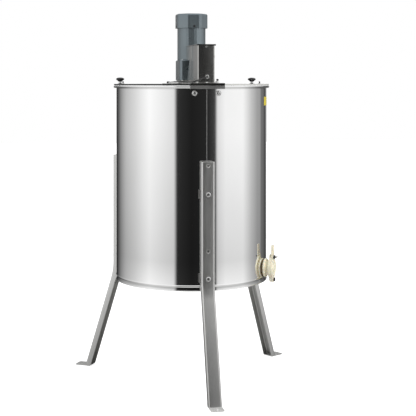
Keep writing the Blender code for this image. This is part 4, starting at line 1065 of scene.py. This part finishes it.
def make_world():
    """White to the camera; to everything else, a studio of bright side walls and a dark front flag."""
    world = bpy.data.worlds.new("studio")
    bpy.context.scene.world = world
    world.use_nodes = True
    tree = world.node_tree
    tree.nodes.clear()
    direction = add_node(tree, "ShaderNodeTexCoord").outputs["Generated"]
    height = along(tree, direction, "Z")
    backward = math_node(tree, "MULTIPLY", along(tree, direction, "Y"), -1.0)
    azimuth = math_node(tree, "ARCTAN2", along(tree, direction, "X"), backward)
    azimuth = math_node(tree, "SUBTRACT", azimuth, math.radians(CAMERA_AZIMUTH))
    azimuth = math_node(tree, "WRAP", azimuth, math.pi, -math.pi)
    walls = wall_ramp(tree, math_node(tree, "MULTIPLY_ADD", azimuth, 0.5 / math.pi, 0.5))
    walls = scaled(tree, walls, spread(tree, height, 0.55, 1.0, (-0.26, -0.04)))
    with_top = blend(tree, ease(tree, height, 0.26, 0.70), walls, (0.95, 0.95, 0.95))
    with_floor = blend(tree, ease(tree, height, -0.45, -0.80), with_top, (0.70, 0.70, 0.69))
    studio = add_node(tree, "ShaderNodeBackground", {"Color": with_floor, "Strength": 1.0})
    white = add_node(tree, "ShaderNodeBackground", {"Color": (1.0, 1.0, 1.0, 1.0), "Strength": 1.0})
    camera_ray = light_path(tree, "Is Camera Ray")
    clear = math_node(tree, "MAXIMUM", camera_ray, light_path(tree, "Is Transmission Ray"))
    shown = mixed(tree, clear, studio.outputs[0], white.outputs[0])
    add_node(tree, "ShaderNodeOutputWorld", {"Surface": shown})


def place_lamp(name, light, back, distance, height):
    """An area light that faces the drum's axis from the direction back, hidden from the camera."""
    lamp = add_object(name, light)
    lamp.location = back * distance + Vector((0.0, 0.0, height))
    lamp.rotation_euler = back.to_track_quat("Z", "Y").to_euler()
    lamp.visible_camera = False
    lamp.visible_transmission = False
    return lamp


def make_soft_light(name, azimuth, elevation, distance, size, power):
    """A large soft light aimed at the drum's middle, not seen in reflections."""
    light = bpy.data.lights.new(name, "AREA")
    light.size = size
    light.energy = power
    a = math.radians(azimuth)
    e = math.radians(elevation)
    back = Vector((math.sin(a) * math.cos(e), -math.cos(a) * math.cos(e), math.sin(e)))
    place_lamp(name, light, back, distance, 0.3).visible_glossy = False


def make_reflected_card(name, azimuth, distance, low, high, width, radiance):
    """An upright card that stands behind the object, level with the box, to be seen in its sides."""
    light = bpy.data.lights.new(name, "AREA")
    light.shape = "RECTANGLE"
    light.size = width
    light.size_y = high - low
    light.energy = radiance * math.pi * width * (high - low)
    back = turned(azimuth) @ Vector((0.0, -1.0, 0.0))
    place_lamp(name, light, back, distance, (low + high) / 2)


def make_camera():
    """The photograph's view. The lens shift holds only there, so that other views stay centred."""
    data = bpy.data.cameras.new("camera")
    data.lens = LENS
    data.sensor_width = 36.0
    camera = add_object("camera", data)
    azimuth = math.radians(CAMERA_AZIMUTH)
    place = Vector((math.sin(azimuth) * CAMERA_DISTANCE, -math.cos(azimuth) * CAMERA_DISTANCE, RIM_Z))
    camera.location = place
    camera.rotation_euler = (math.radians(90), 0.0, azimuth)
    bpy.context.scene.camera = camera
    home = add_object("camera_home", None)
    home.location = place
    for channel, value in zip(("shift_x", "shift_y"), LENS_SHIFT):
        curve = data.driver_add(channel)
        for extra in list(curve.modifiers):
            curve.modifiers.remove(extra)
        curve.driver.type = "AVERAGE"
        away = curve.driver.variables.new()
        away.type = "LOC_DIFF"
        away.targets[0].id = camera
        away.targets[1].id = home
        for distance, level in ((0.0, value), (0.1, 0.0)):
            curve.keyframe_points.insert(distance, level).interpolation = "LINEAR"


def build():
    finish_cad_nodes()
    make_drum_wall()
    make_drum_seam()
    make_label()
    make_legs()
    make_bolts()
    for side, sign in (("left", -1), ("right", 1)):
        make_lid_fittings(side, sign)
        make_hinge_rivets(side, sign)
    make_motor_screws()
    make_control_box()
    make_speed_knob()
    make_box_screws()
    make_edge_trim()
    make_gate_body()
    make_gate_flap()
    make_gate_fixings()
    make_floor()
    make_world()
    make_soft_light("front_right_light", 30, 18, distance=3.0, size=1.4, power=48.0)
    make_reflected_card("box_side_card", CAMERA_AZIMUTH - 158, distance=2.2, low=RIM_Z + 0.02,
                        high=RIM_Z + 0.80, width=1.3, radiance=0.22)
    make_camera()
    bpy.context.scene.view_settings.view_transform = "Standard"
    bpy.context.view_layer.update()


build()
